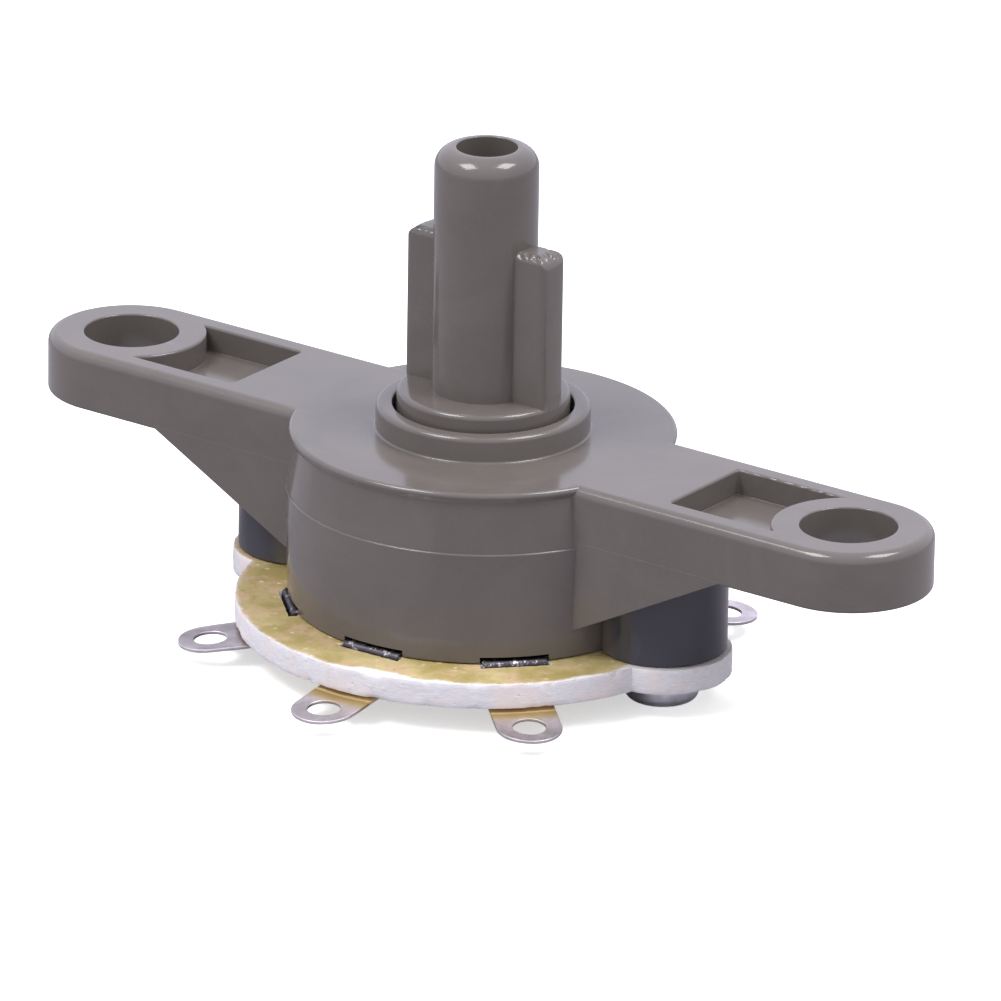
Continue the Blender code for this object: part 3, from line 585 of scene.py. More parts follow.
class Finish:
    """A material with its nodes. Patterns read Object coordinates in millimetres."""

    def __init__(self, name):
        self.material = bpy.data.materials.new(name)
        self.material.use_nodes = True
        self.tree = self.material.node_tree
        self.shader = self.tree.nodes["Principled BSDF"]
        place = self.node("TexCoord", output="Object")
        self.place = self.node("VectorMath", {"operation": "SCALE"}, {0: place, "Scale": PER_MM})

    def node(self, kind, settings=None, inputs=None, output=0):
        """Any node: its settings are set first, then its sockets are given values or links."""
        made = self.tree.nodes.new("ShaderNode" + kind)
        for name, value in (settings or {}).items():
            setattr(made, name, value)
        for name, value in (inputs or {}).items():
            if isinstance(value, Socket):
                self.tree.links.new(value.output, made.inputs[name])
            else:
                made.inputs[name].default_value = value
        return Socket(self.tree, made.outputs[output])

    def axes(self):
        """X, Y and Z in millimetres."""
        parts = self.node("SeparateXYZ", {}, {0: self.place}).output.node
        return [Socket(self.tree, part) for part in parts.outputs]

    def noise(self, per_mm, detail=3.0, roughness=0.5, distortion=0.0, place=None):
        """Noise between about 0 and 1, with so many cells in a millimetre."""
        return self.node("TexNoise", {}, {"Vector": place or self.place, "Scale": per_mm, "Detail": detail,
                                          "Roughness": roughness, "Distortion": distortion})

    def step(self, value, low, high):
        """0 below low, 1 above high and an S curve between them."""
        return self.node("MapRange", {"interpolation_type": "SMOOTHSTEP"},
                         {"Value": value, "From Min": low, "From Max": high})

    def mix(self, share, first, second):
        """One colour at 0 and the other at 1."""
        return self.node("Mix", {"data_type": "RGBA"}, {0: share, 6: first, 7: second}, output=2)

    def bump(self, height, distance_mm, strength=1.0, normal=None):
        """A normal pushed about by a height, whose full range is worth the distance."""
        inputs = {"Height": height, "Distance": distance_mm * MM, "Strength": strength}
        if normal is not None:
            inputs["Normal"] = normal
        return self.node("Bump", {}, inputs)

    def wear(self, color=None, roughness=None, normal=None, glow=None, metallic=None):
        """Link what changes over the surface to the shader."""
        for name, value in (("Base Color", color), ("Roughness", roughness), ("Normal", normal),
                            ("Emission Color", glow), ("Metallic", metallic)):
            if value is not None:
                self.tree.links.new(value.output, self.shader.inputs[name])
        return self

    def set(self, **values):
        """Set what is the same all over on the shader's own sockets."""
        for name, value in values.items():
            self.shader.inputs[name.replace("_", " ")].default_value = value
        return self


def shade(color, factor=1.0):
    """A colour, or a lighter or darker one, with its alpha."""
    return tuple(min(1.0, part * factor) for part in color) + (1.0,)


def taupe_plastic():
    """Moulded taupe plastic: faint mottling, slight waves in the skin, a clear gloss, and posts painted
    darker
    and bluer: painted shade under the arms with a painted dark reflection.

    A point is a post's when it lies inside the post's circle, further along X than the cup's side and lower
    than the pockets' floors. Each limit fades over a short way.
    """
    tones = bpy.context.scene.switch_finishes
    color, post_shade_color = tones.taupe, tones.post_painted_shade
    post_radius = bpy.context.scene.switch_housing.post_radius * PER_MM
    finish = Finish("taupe_plastic_skin")
    mottle = finish.noise(0.16, 4.0, 0.6, 0.6)
    grain = finish.noise(5.0, 3.0, 0.6)
    x, y, z = finish.axes()
    post_x = abs(x) - RIVET_X * PER_MM
    post = (finish.step((post_x * post_x + y * y) ** 0.5, post_radius + 0.15, post_radius + 0.02)
            * finish.step(abs(x), 11.2, 12.6) * finish.step(z, 9.9, 9.0))
    tint = finish.mix(finish.step(mottle, 0.3, 0.7), shade(color, 0.93), shade(color, 1.07))
    tint = finish.mix(finish.step(grain, 0.35, 0.75) * 0.12, tint, shade(color, 1.25))
    # Painted shade: the posts get the darker, bluer colour in place of their shade under the arms and their
    # dark reflection.
    tint = finish.mix(post, tint, shade(post_shade_color))
    gloss = 0.11 + finish.noise(0.5, 3.0) * 0.07 + grain * 0.02
    skin = finish.bump(finish.noise(0.7, 2.0, 0.5), 0.006)
    skin = finish.bump(grain, 0.0005, 1.0, skin)
    finish.wear(tint, gloss, normal=skin).set(IOR=1.5)
    return finish.material


def glass_laminate():
    """Glass laminate: an olive yellow resin face with specks and pits, and a pale fibrous cut edge.

    The distance to the cut outline is worked out from the wafer's own circles.
    """
    sizes = bpy.context.scene.switch_wafer
    tones = bpy.context.scene.switch_finishes
    finish = Finish("laminate_board")
    x, y, _ = finish.axes()
    up = finish.node("SeparateXYZ", {}, {0: finish.node("TexCoord", output="Normal")}, "Z")
    disc = (x * x + y * y) ** 0.5 - sizes.wafer_radius * PER_MM
    ear_x = abs(x) - RIVET_X * PER_MM
    ear = (ear_x * ear_x + y * y) ** 0.5 - sizes.wafer_ear * PER_MM
    depth = 0.0 - disc.least(ear)
    slot = None
    for degrees in TERMINAL_BEARINGS_DEG:
        c, s = math.cos(math.radians(degrees)), math.sin(math.radians(degrees))
        reach = abs(x * c + y * s - sizes.fold_reach * PER_MM) - sizes.slot_length / 2 * PER_MM
        side = abs(y * c - x * s) - (sizes.terminal_width / 2 + sizes.slot_clearance) * PER_MM
        near = reach.most(side)
        slot = near if slot is None else slot.least(near)
    ragged = finish.noise(1.3, 6.0, 0.75)
    bites = finish.noise(0.2, 2.0, 0.5)
    fringe = finish.step(ragged * 0.9 + finish.step(bites, 0.5, 0.75) * 0.8 - depth, 0.1, 0.6)
    rim = finish.step(ragged * 0.38 - slot, 0.05, 0.25)
    cut = finish.step(abs(up), 0.75, 0.5)
    white = cut.most(fringe * 0.92).held()
    cloud = finish.noise(0.3, 4.0, 0.6)
    weave = finish.noise(1.6, 5.0, 0.7)
    specks = finish.node("TexVoronoi", {}, {"Vector": finish.place, "Scale": 1.25, "Randomness": 1.0})
    speck = finish.step(specks, 0.25, 0.1) * finish.step(finish.noise(0.4, 2.0), 0.38, 0.55)
    pits = finish.node("TexVoronoi", {}, {"Vector": finish.place, "Scale": 1.9, "Randomness": 1.0})
    pit = finish.step(pits, 0.2, 0.08) * finish.step(finish.noise(0.7, 2.0), 0.5, 0.62)
    fibre = finish.node("VectorMath", {"operation": "MULTIPLY"}, {0: finish.place, 1: (1.0, 1.0, 5.0)})
    strand = finish.noise(2.2, 4.0, 0.7, 0.3, fibre)
    face = finish.mix(finish.step(cloud, 0.36, 0.66), shade(tones.laminate, 0.86),
                      shade(tones.laminate_pale))
    face = finish.mix(finish.step(weave, 0.35, 0.7) * 0.4, face, shade(tones.laminate, 0.7))
    blush = finish.step(finish.noise(0.45, 4.0, 0.7), 0.48, 0.62)
    for share, color in ((blush * 0.55, tones.laminate_blush), (speck * 0.75, tones.laminate_speck),
                         (pit * 0.6, tones.laminate_pit), (rim * 0.7, tones.laminate_rim)):
        face = finish.mix(share, face, shade(color))
    edge = finish.mix(finish.step(strand, 0.3, 0.72), shade(tones.laminate_edge, 0.88),
                      shade(tones.laminate_edge, 1.05))
    edge = finish.mix(blush * 0.5, edge, shade(tones.edge_blush))
    tint = finish.mix(white, face, edge)
    gloss = 0.3 + cloud * 0.14 + white * 0.34
    surface = finish.bump(weave * 0.7 + speck * 0.8 - pit * 0.8, 0.03)
    surface = finish.bump(strand * white, 0.02, 1.0, surface)
    finish.wear(tint, gloss, normal=surface).set(IOR=1.5)
    return finish.material


def metal(name, color, roughness, grain_mm, dents_mm, darker=0.75, fold_reach=0.0, varnish_reach=0.0):
    """Worked sheet or wire: patches of tarnish, fine grain and shallow dents.

    Painted shade darkens the metal in specks on both sides of the fold's reach from the shaft's axis, where
    the fold sits in the cup's notch. Inside the varnish reach, resin from the board coats it and hides part
    of its shine; under the board's edge that resin is painted lighter, painted light that offsets the board's
    shadow.
    """
    tones = bpy.context.scene.switch_finishes
    finish = Finish(name)
    patch = finish.noise(0.6, 4.0, 0.65, 0.4)
    grain = finish.noise(7.0, 3.0, 0.6)
    tint = finish.mix(finish.step(patch, 0.3, 0.75), shade(color, darker), shade(color, 1.1))
    bare = None
    if fold_reach:
        x, y, _ = finish.axes()
        reach = (x * x + y * y) ** 0.5
        fold = fold_reach * PER_MM
        speckle = finish.step(finish.noise(1.8, 4.0, 0.75), 0.64, 0.52)
        near = finish.step(reach, fold - 1.4, fold - 0.8)
        # Painted shade: the metal round the fold, in the cup's notch and the wafer's slot, is darkened in
        # specks.
        painted_fold_shade = finish.step(reach, fold + 0.9, fold + 0.4) * near * speckle
        tint = finish.mix(painted_fold_shade * 0.94, tint, shade(tones.painted_fold_shade))
        if varnish_reach:
            edge = varnish_reach * PER_MM
            clear = finish.step(reach, fold + 0.6, fold + 1.4)
            band = finish.step(reach + patch * 0.5, edge + 1.1, edge - 0.1) * clear
            # Painted light: where the lug runs under the board's edge, the resin colour turns lighter to
            # offset the board's shadow. Further out the stain keeps its own darker colour.
            thick = finish.step(reach, edge - 0.75, edge - 0.45)
            resin = finish.mix(thick, shade(tones.painted_lit_resin), shade(tones.resin))
            tint = finish.mix(band * 0.9, tint, resin)
            bare = 1 - band * 0.65
    gloss = roughness + patch * 0.12 + grain * 0.06 - 0.08
    surface = finish.bump(finish.noise(0.9, 3.0, 0.55), dents_mm)
    surface = finish.bump(grain, grain_mm, 1.0, surface)
    finish.wear(tint, gloss, normal=surface, metallic=bare).set(Metallic=1.0)
    return finish.material


# The housing


def ball_disc_radius(context):
    """The radius of the rotor's disc, which clears the wall of the cup."""
    housing = context.scene.switch_housing
    return housing.cup_foot - housing.cup_wall - context.scene.switch_rotor.disc_clearance


def cup_profile(sizes, plate_top):
    """Half the section of the cup and collar: rounded collar, foot fillet, lipped rim, seam and draft."""
    seam = plate_top - sizes.seam_drop
    fillet = 0.12 * MM
    under_rim = sizes.rim_radius - sizes.rim_lip
    upper_side = sizes.cup_radius - sizes.seam_step
    foot_round = 0.12 * MM
    return chain(
        (0.0, COLLAR_TOP_Z),
        arc((sizes.collar_radius - sizes.collar_round, COLLAR_TOP_Z - sizes.collar_round),
            sizes.collar_round, 90, 0),
        arc((sizes.collar_radius + fillet, plate_top + fillet), fillet, 180, 270),
        arc((sizes.rim_radius - sizes.rim_round, plate_top - sizes.rim_round), sizes.rim_round, 90, -20),
        arc((under_rim + fillet, plate_top - 2.6 * sizes.rim_round), fillet, 150, 185),
        (upper_side, seam),
        arc((sizes.cup_radius - sizes.seam_step, seam - sizes.seam_step), sizes.seam_step, 90, 0),
        arc((sizes.cup_foot - foot_round, CUP_BOTTOM_Z + foot_round), foot_round, 0, -90),
        (0.0, CUP_BOTTOM_Z))


def arm_solids(sizes, plate_top):
    """The plate of both arms, with a rounded outline, and the webs below it."""
    plate_bottom = plate_top - sizes.plate
    plan = spread(chain(arc((sizes.ear_x, 0.0), sizes.ear_radius, -90, 90, 64),
                        arc((-sizes.ear_x, 0.0), sizes.ear_radius, 90, 270, 64)), 2.0 * MM)
    plate = slab("plate", plan, edge_rings(plate_bottom, plate_top, 0.2 * MM, sizes.plate_round))
    slope = math.tan(math.radians(WEB_SLOPE_DEG))
    root_x = sizes.cup_foot - sizes.cup_wall - OVERLAP
    root_z = plate_bottom - (sizes.web_knee_x - root_x) * slope
    lap = 0.25 * MM
    tip_x = sizes.web_knee_x + lap / slope
    side = np.array(((-root_x, root_z), (root_x, root_z), (tip_x, plate_bottom + lap),
                     (-tip_x, plate_bottom + lap)))
    half = sizes.ear_radius + sizes.web_proud
    webs = slab("webs", side, edge_rings(-half, half, 0.07 * MM, 0.07 * MM), standing())
    return [plate, webs]


def post_solids(sizes, plate_top):
    """The posts under the arms."""
    top = plate_top - sizes.plate / 2
    foot = 0.15 * MM
    profile = chain((0.0, top), (sizes.post_radius, top),
                    arc((sizes.post_radius - foot, CUP_BOTTOM_Z + foot), foot, 0, -90), (0.0, CUP_BOTTOM_Z))
    return [turned(f"post_{sign}", profile, SMALL_STEPS, shift(sign * RIVET_X)) for sign in (-1, 1)]


def pocket_solids(sizes, plate_top):
    """What the moulder's core leaves beside each ear: flat floor, round inner corners, soft mouth."""
    half_angle = math.degrees(math.asin(sizes.pocket_half_width / sizes.pocket_arc))
    wall = arc((sizes.ear_x, 0.0), sizes.pocket_arc, 180 - half_angle, 180 + half_angle, 40)
    near = (sizes.pocket_inner_x, -sizes.pocket_half_width)
    far = (sizes.pocket_inner_x, sizes.pocket_half_width)
    corner = 0.2 * MM
    outline = chain(wall, rounded_corner(wall[-1], near, far, corner),
                    rounded_corner(near, far, wall[0], corner))[::-1]
    outline = spread(outline, 0.25 * MM)
    rings = edge_rings(plate_top - sizes.pocket_depth, plate_top, 0.05 * MM, -0.15 * MM)

    def rough_far_edge(grid):
        """A ragged mouth along the far edge, as a worn core leaves it."""
        along = np.clip((grid[..., 1] / sizes.pocket_half_width - 0.9) * 10, 0, 1)
        top = grid[..., 2] > plate_top - 0.3 * MM
        return -along * top * 0.1 * MM * np.clip(0.3 + ripple(grid[..., :2], 0.6 * MM), 0, 2)

    right = slab("pocket_right", outline, rings, roughen=rough_far_edge)
    left = slab("pocket_left", outline, rings, bearing(180))
    return [left, right]


def hidden_housing_cuts(sizes, plate_top):
    """The chamber, the stop channel, the ball grooves, the terminal notches and the rivet bores."""
    ceiling_z = plate_top - sizes.ceiling
    cavity_radius = sizes.cup_foot - sizes.cup_wall
    contact = bpy.context.scene.switch_contacts
    wafer = bpy.context.scene.switch_wafer
    mouth = sizes.collar_round / 2
    cavity = turned("cavity", chain(
        (0.0, COLLAR_TOP_Z + OVERLAP), (sizes.collar_bore + mouth, COLLAR_TOP_Z + OVERLAP),
        arc((sizes.collar_bore + mouth, COLLAR_TOP_Z - mouth), mouth, 90, 180),
        (sizes.collar_bore, ceiling_z), (cavity_radius, ceiling_z),
        (cavity_radius, CUP_BOTTOM_Z - OVERLAP), (0.0, CUP_BOTTOM_Z - OVERLAP)))
    half = TRAVEL_DEG / 2 + TOOTH_WIDTH_DEG / 2 + TOOTH_PLAY_DEG
    channel = slab("stop_channel", tooth_outline(SLIP, -half, half, 60),
                   edge_rings(ceiling_z - OVERLAP, ceiling_z + TOOTH_HEIGHT + RUNNING, 0.0, 0.0, 1))
    cuts = [cavity, channel]
    groove_radius = contact.ball_radius + SLIP
    groove_half = 1.4 * contact.ball_radius
    groove = plug(groove_radius, groove_half, -groove_half)
    for start in (0.0, 180.0):
        for degrees in start + np.linspace(0.0, TRAVEL_DEG, POSITION_COUNT):
            turn = math.radians(degrees)
            reach = BALL_REACH + contact.ball_travel
            cuts.append(turned(f"groove_{degrees:.0f}", groove, 32,
                               shift(reach * math.cos(turn), reach * math.sin(turn), BALL_Z)))
    half_width = wafer.terminal_width / 2 + wafer.slot_clearance
    plan = strip(cavity_radius - OVERLAP, sizes.cup_radius + OVERLAP, half_width)
    for degrees in TERMINAL_BEARINGS_DEG:
        cuts.append(slab(f"notch_{degrees:.0f}", plan,
                         edge_rings(CUP_BOTTOM_Z - OVERLAP, CUP_BOTTOM_Z + wafer.notch_height, 0.0, 0.0, 1),
                         bearing(degrees)))
    bore = plug(wafer.rivet_shank + RUNNING, RIVET_TOP_Z + RUNNING, CUP_BOTTOM_Z - OVERLAP)
    cuts += [turned(f"bore_{sign}", bore, 48, shift(sign * RIVET_X)) for sign in (-1, 1)]
    return cuts


def ear_holes(sizes, plate_top):
    """The fixing holes with softly rounded mouths."""
    soft = 0.1 * MM
    rings = edge_rings(plate_top - sizes.plate, plate_top, -soft, -soft)
    profile = chain((0.0, rings[0, 0]), np.stack((sizes.ear_hole - rings[:, 1], rings[:, 0]), axis=1),
                    (0.0, rings[-1, 0]))
    return [turned(f"ear_hole_{sign}", profile, 96, shift(sign * sizes.ear_x)) for sign in (-1, 1)]


def tooth_outline(clearance, start_deg, end_deg, steps):
    """The stop tooth's plan, or with clearance the plan of the channel that it runs in."""
    inner = TOOTH_INNER_RADIUS - clearance
    outer = TOOTH_OUTER_RADIUS + clearance
    return chain(arc((0.0, 0.0), outer, start_deg, end_deg, steps),
                 arc((0.0, 0.0), inner, end_deg, start_deg, steps))


class SWITCH_OT_housing(bpy.types.Operator):
    """Build the moulded housing with its arms, pockets, webs, posts and chamber"""

    bl_idname = "switch.housing"
    bl_label = "Housing"

    def execute(self, context):
        sizes = context.scene.switch_housing
        plate_top = COLLAR_TOP_Z - sizes.collar_height
        housing = turned("housing_body", cup_profile(sizes, plate_top))
        combine(housing, arm_solids(sizes, plate_top) + post_solids(sizes, plate_top), "UNION")
        cuts = hidden_housing_cuts(sizes, plate_top)
        cuts += ear_holes(sizes, plate_top) + pocket_solids(sizes, plate_top)
        combine(housing, cuts, "DIFFERENCE")
        smooth(housing)
        dress(housing, taupe_plastic(), "base", "housing")
        return {"FINISHED"}


# The rotor


def rotor_profile(sizes, plate_top, disc_top):
    """Half the section of the rotor: bore, round shaft end, flange, disc, hub and recess."""
    contact = bpy.context.scene.switch_contacts
    flange_top = plate_top + sizes.flange_height
    disc_bottom = disc_top - sizes.disc_thickness
    disc_radius = ball_disc_radius(bpy.context)
    recess_radius = contact.coil_radius + contact.coil_wire + SLIP
    recess_top = disc_bottom + sizes.spring_recess
    bore_bottom = SHAFT_TOP_Z - sizes.bore_depth
    wing_top = flange_top + sizes.wing_height
    lip = 0.06 * MM
    soft = 0.15 * MM
    return chain(
        (0.0, bore_bottom), (sizes.bore_radius, bore_bottom),
        arc((sizes.bore_radius + lip, SHAFT_TOP_Z - lip), lip, 180, 90, 4),
        arc((sizes.shaft_radius - sizes.shaft_round, SHAFT_TOP_Z - sizes.shaft_round), sizes.shaft_round,
            90, 0, 16),
        (sizes.shaft_radius, wing_top + 0.15 * MM), (sizes.shaft_radius, wing_top - sizes.wing_crown),
        (sizes.shaft_radius, flange_top),
        arc((sizes.flange_radius - sizes.flange_round, flange_top - sizes.flange_round), sizes.flange_round,
            90, 0),
        (sizes.flange_radius, disc_top),
        arc((disc_radius - soft, disc_top - soft), soft, 90, 0, 4),
        arc((disc_radius - soft, disc_bottom + soft), soft, 0, -90, 4),
        (sizes.hub_radius, disc_bottom), (sizes.hub_radius, HUB_BOTTOM_Z),
        (recess_radius, HUB_BOTTOM_Z), (recess_radius, recess_top), (0.0, recess_top))


def wing_solids(sizes, flange_top):
    """The wings: flat sides, outer faces turned about the shaft's axis, rounded edges, ragged tops.

    At the height h over a rounding's center a size is held to its own value - r + sqrt(r * r - h * h).
    """
    top = flange_top + sizes.wing_height
    foot = flange_top - 0.6 * MM
    root = (sizes.bore_radius + sizes.shaft_radius) / 2
    half = sizes.wing_thickness / 2
    half_angle = math.degrees(math.asin(half / sizes.wing_reach))
    face = arc((0.0, 0.0), sizes.wing_reach, -half_angle, half_angle, 16)
    near, far = (root, -half), (root, half)
    outline = spread(chain(near, rounded_corner(near, face[0], face[4], sizes.wing_round), face[4:-4],
                           rounded_corner(face[-5], face[-1], far, sizes.wing_round), far), 0.12 * MM)
    levels = np.append(np.linspace(foot, top - sizes.wing_corner, 10)[:-1],
                       top - sizes.wing_corner * (1 - np.sin(np.linspace(0.0, math.pi / 2, 24))))
    rings = np.stack((levels, np.zeros_like(levels)), axis=1)

    def held(size, radius, level):
        """A size at a level under the top, where it ends in a rounding of the radius."""
        height = np.clip(level - top + radius, 0, radius)
        return size - radius + np.sqrt(radius ** 2 - height ** 2)

    def shaped(grid):
        """The round upper corner and the rounded top edges, with small nicks along them."""
        level = grid[..., 2]
        side = held(half, sizes.wing_crown, level)
        y = np.clip(grid[..., 1], -side, side)
        share = np.minimum(1.0, held(sizes.wing_reach, sizes.wing_corner, level) / np.hypot(grid[..., 0], y))
        edge = np.clip((level - top) / (0.15 * MM) + 3, 0, 1) * np.clip((top - level) / (0.02 * MM), 0, 1)
        nick = edge * 0.07 * MM * np.clip(ripple(grid, 0.35 * MM), 0, 2)
        return np.stack((grid[..., 0] * share, y * share, level - nick), axis=-1)

    return [slab(f"wing_{degrees}", outline, rings, lambda grid, turn=bearing(degrees): turn(shaped(grid)))
            for degrees in (0, 180)]


class SWITCH_OT_rotor(bpy.types.Operator):
    """Build the rotor: hollow shaft, wings, flange, ball disc and hub"""

    bl_idname = "switch.rotor"
    bl_label = "Rotor"

    def execute(self, context):
        sizes = context.scene.switch_rotor
        housing = context.scene.switch_housing
        contact = context.scene.switch_contacts
        plate_top = COLLAR_TOP_Z - housing.collar_height
        disc_top = plate_top - housing.ceiling - RUNNING
        disc_bottom = disc_top - sizes.disc_thickness
        disc_radius = ball_disc_radius(context)
        rotor = turned("rotor_body", rotor_profile(sizes, plate_top, disc_top))
        start = -TRAVEL_DEG / 2 - TOOTH_WIDTH_DEG / 2
        tooth = slab("stop_tooth", tooth_outline(0.0, start, start + TOOTH_WIDTH_DEG, 16),
                     edge_rings(disc_top - TOOTH_HEIGHT, disc_top + TOOTH_HEIGHT, 0.0, 0.1 * MM, 3))
        combine(rotor, wing_solids(sizes, plate_top + sizes.flange_height) + [tooth], "UNION")
        half_slot = contact.blade_width / 2 + SLIP
        reach = 2 * sizes.hub_radius
        cuts = [slab("bridge_slot", strip(-reach, reach, half_slot),
                     edge_rings(HUB_BOTTOM_Z - OVERLAP, disc_bottom + SLIP, 0.0, 0.0, 1))]
        inner = disc_radius - contact.ball_pocket
        pocket = plug(contact.ball_radius + SLIP, inner, disc_radius + OVERLAP)
        cuts += [turned(f"ball_pocket_{degrees}", pocket, 48, lying(degrees, BALL_Z)) for degrees in (0, 180)]
        combine(rotor, cuts, "DIFFERENCE")
        smooth(rotor)
        dress(rotor, taupe_plastic(), "rotor", "rotor")
        return {"FINISHED"}


# The wafer, its terminals and its rivets


def wafer_outline(sizes):
    """A disc with two ears about the rivets, arc by arc, counterclockwise."""
    meet_x = (sizes.wafer_radius ** 2 + RIVET_X ** 2 - sizes.wafer_ear ** 2) / (2 * RIVET_X)
    meet_y = math.sqrt(sizes.wafer_radius ** 2 - meet_x ** 2)
    disc_angle = math.degrees(math.atan2(meet_y, meet_x))
    ear_angle = math.degrees(math.atan2(meet_y, meet_x - RIVET_X))
    return chain(arc((RIVET_X, 0.0), sizes.wafer_ear, -ear_angle, ear_angle, 60),
                 arc((0.0, 0.0), sizes.wafer_radius, disc_angle, 180 - disc_angle, 160)[1:],
                 arc((-RIVET_X, 0.0), sizes.wafer_ear, 180 - ear_angle, 180 + ear_angle, 60)[1:],
                 arc((0.0, 0.0), sizes.wafer_radius, 180 + disc_angle, 360 - disc_angle, 160)[1:-1])


class SWITCH_OT_wafer(bpy.types.Operator):
    """Build the laminate wafer with its chipped edge, slots and rivet holes"""

    bl_idname = "switch.wafer"
    bl_label = "Wafer"

    def execute(self, context):
        sizes = context.scene.switch_wafer
        rings = edge_rings(WAFER_BOTTOM_Z, WAFER_TOP_Z, 0.08 * MM, 0.06 * MM, 2)
        middle = np.linspace(rings[2, 0], rings[3, 0], 7)[1:-1]
        rings = np.concatenate((rings[:3], np.stack((middle, np.zeros_like(middle)), axis=1), rings[3:]))

        def chipped(grid):
            """The cut wanders a little all over, and is bitten where two ripples agree near an edge."""
            wander = 0.2 * np.abs(ripple(grid, 0.9 * MM))
            height = (grid[..., 2] - WAFER_BOTTOM_Z) / (WAFER_TOP_Z - WAFER_BOTTOM_Z)
            near_edge = np.abs(2 * height - 1) ** 3
            bite = np.clip(ripple(grid[..., :2], 3.2 * MM, SEED + 1) - 0.4, 0, 1)
            return sizes.chip * (wander + near_edge * (0.3 + 2.0 * bite) * np.abs(
                ripple(grid, 0.6 * MM, SEED + 2)))

        wafer = slab("wafer_board", wafer_outline(sizes), rings, roughen=chipped)
        low, high = WAFER_BOTTOM_Z, WAFER_TOP_Z
        hole = plug(sizes.rivet_shank + RUNNING, high + OVERLAP, low - OVERLAP)
        cuts = [turned(f"rivet_hole_{sign}", hole, 48, shift(sign * RIVET_X)) for sign in (-1, 1)]
        near = sizes.fold_reach - sizes.slot_length / 2
        far = sizes.fold_reach + sizes.slot_length / 2
        half = sizes.terminal_width / 2 + sizes.slot_clearance
        plan = spread(strip(near, far, half), 0.2 * MM)

        def torn(grid):
            """The punch tears the laminate a little where it breaks through."""
            return -0.03 * MM * np.clip(ripple(grid, 0.5 * MM, SEED + 3), 0, 2)

        for degrees in TERMINAL_BEARINGS_DEG:
            cuts.append(slab(f"slot_{degrees:.0f}", plan, edge_rings(low, high, -0.05 * MM, -0.05 * MM, 2),
                             bearing(degrees), torn))
        combine(wafer, cuts, "DIFFERENCE")
        smooth(wafer, crease_deg=40.0)
        dress(wafer, glass_laminate(), "base", "wafer")
        return {"FINISHED"}


def blank_grid(sizes, lug_end):
    """A flat terminal blank: rows along it, columns round its section.

    Along the straight part the half width is w less the inset. Round the lug's end the row turns about the
    hole: length = end + (w - inset) * sin a, width = (w - inset) * cos a.
    """
    half_width = sizes.terminal_width / 2
    half_sheet = sizes.sheet / 2
    burr = 0.04 * MM
    turn = np.linspace(0.0, math.pi / 2, 4)
    edge_inset = burr * (1 - np.sin(turn))
    edge_level = half_sheet - burr * (1 - np.cos(turn))
    across = np.linspace(-1.0, 1.0, 13)
    side = np.ones(2 * len(turn))
    share = np.concatenate((across, side, across[::-1], -side))
    upper_inset = np.concatenate((np.full(len(across), burr), edge_inset, edge_inset[::-1]))
    upper_level = np.concatenate((np.full(len(across), half_sheet), edge_level, -edge_level[::-1]))
    inset = np.tile(upper_inset, 2)
    level = np.concatenate((upper_level, -upper_level))
    straight = np.linspace(0.0, lug_end, 150)[:, None]
    sweep = np.linspace(0.0, math.pi / 2, 28)[1:, None]
    along = np.concatenate((np.repeat(straight, len(share), axis=1),
                            lug_end + (half_width - inset) * np.sin(sweep)))
    wide = np.concatenate((np.repeat((half_width - inset)[None], len(straight), axis=0),
                           (half_width - inset) * np.cos(sweep)))
    return np.stack((along, wide * share, np.repeat(level[None], len(along), axis=0)), axis=-1)


def folded(points, stations, headings):
    """Points of a flat blank carried onto a folded strip.

    The strip's heading is read from the stations, its middle line is the running sum of that heading, and
    each point stands off the line by its own height.
    """
    run = np.linspace(stations[0], stations[-1], 4000)
    heading = np.interp(run, stations, headings)
    step = np.diff(run, prepend=run[0])
    reach = np.cumsum(np.cos(heading) * step)
    rise = np.cumsum(np.sin(heading) * step)
    turn = np.interp(points[:, 0], run, heading)
    return np.stack((np.interp(points[:, 0], run, reach) - points[:, 2] * np.sin(turn), points[:, 1],
                     np.interp(points[:, 0], run, rise) + points[:, 2] * np.cos(turn)), axis=1)


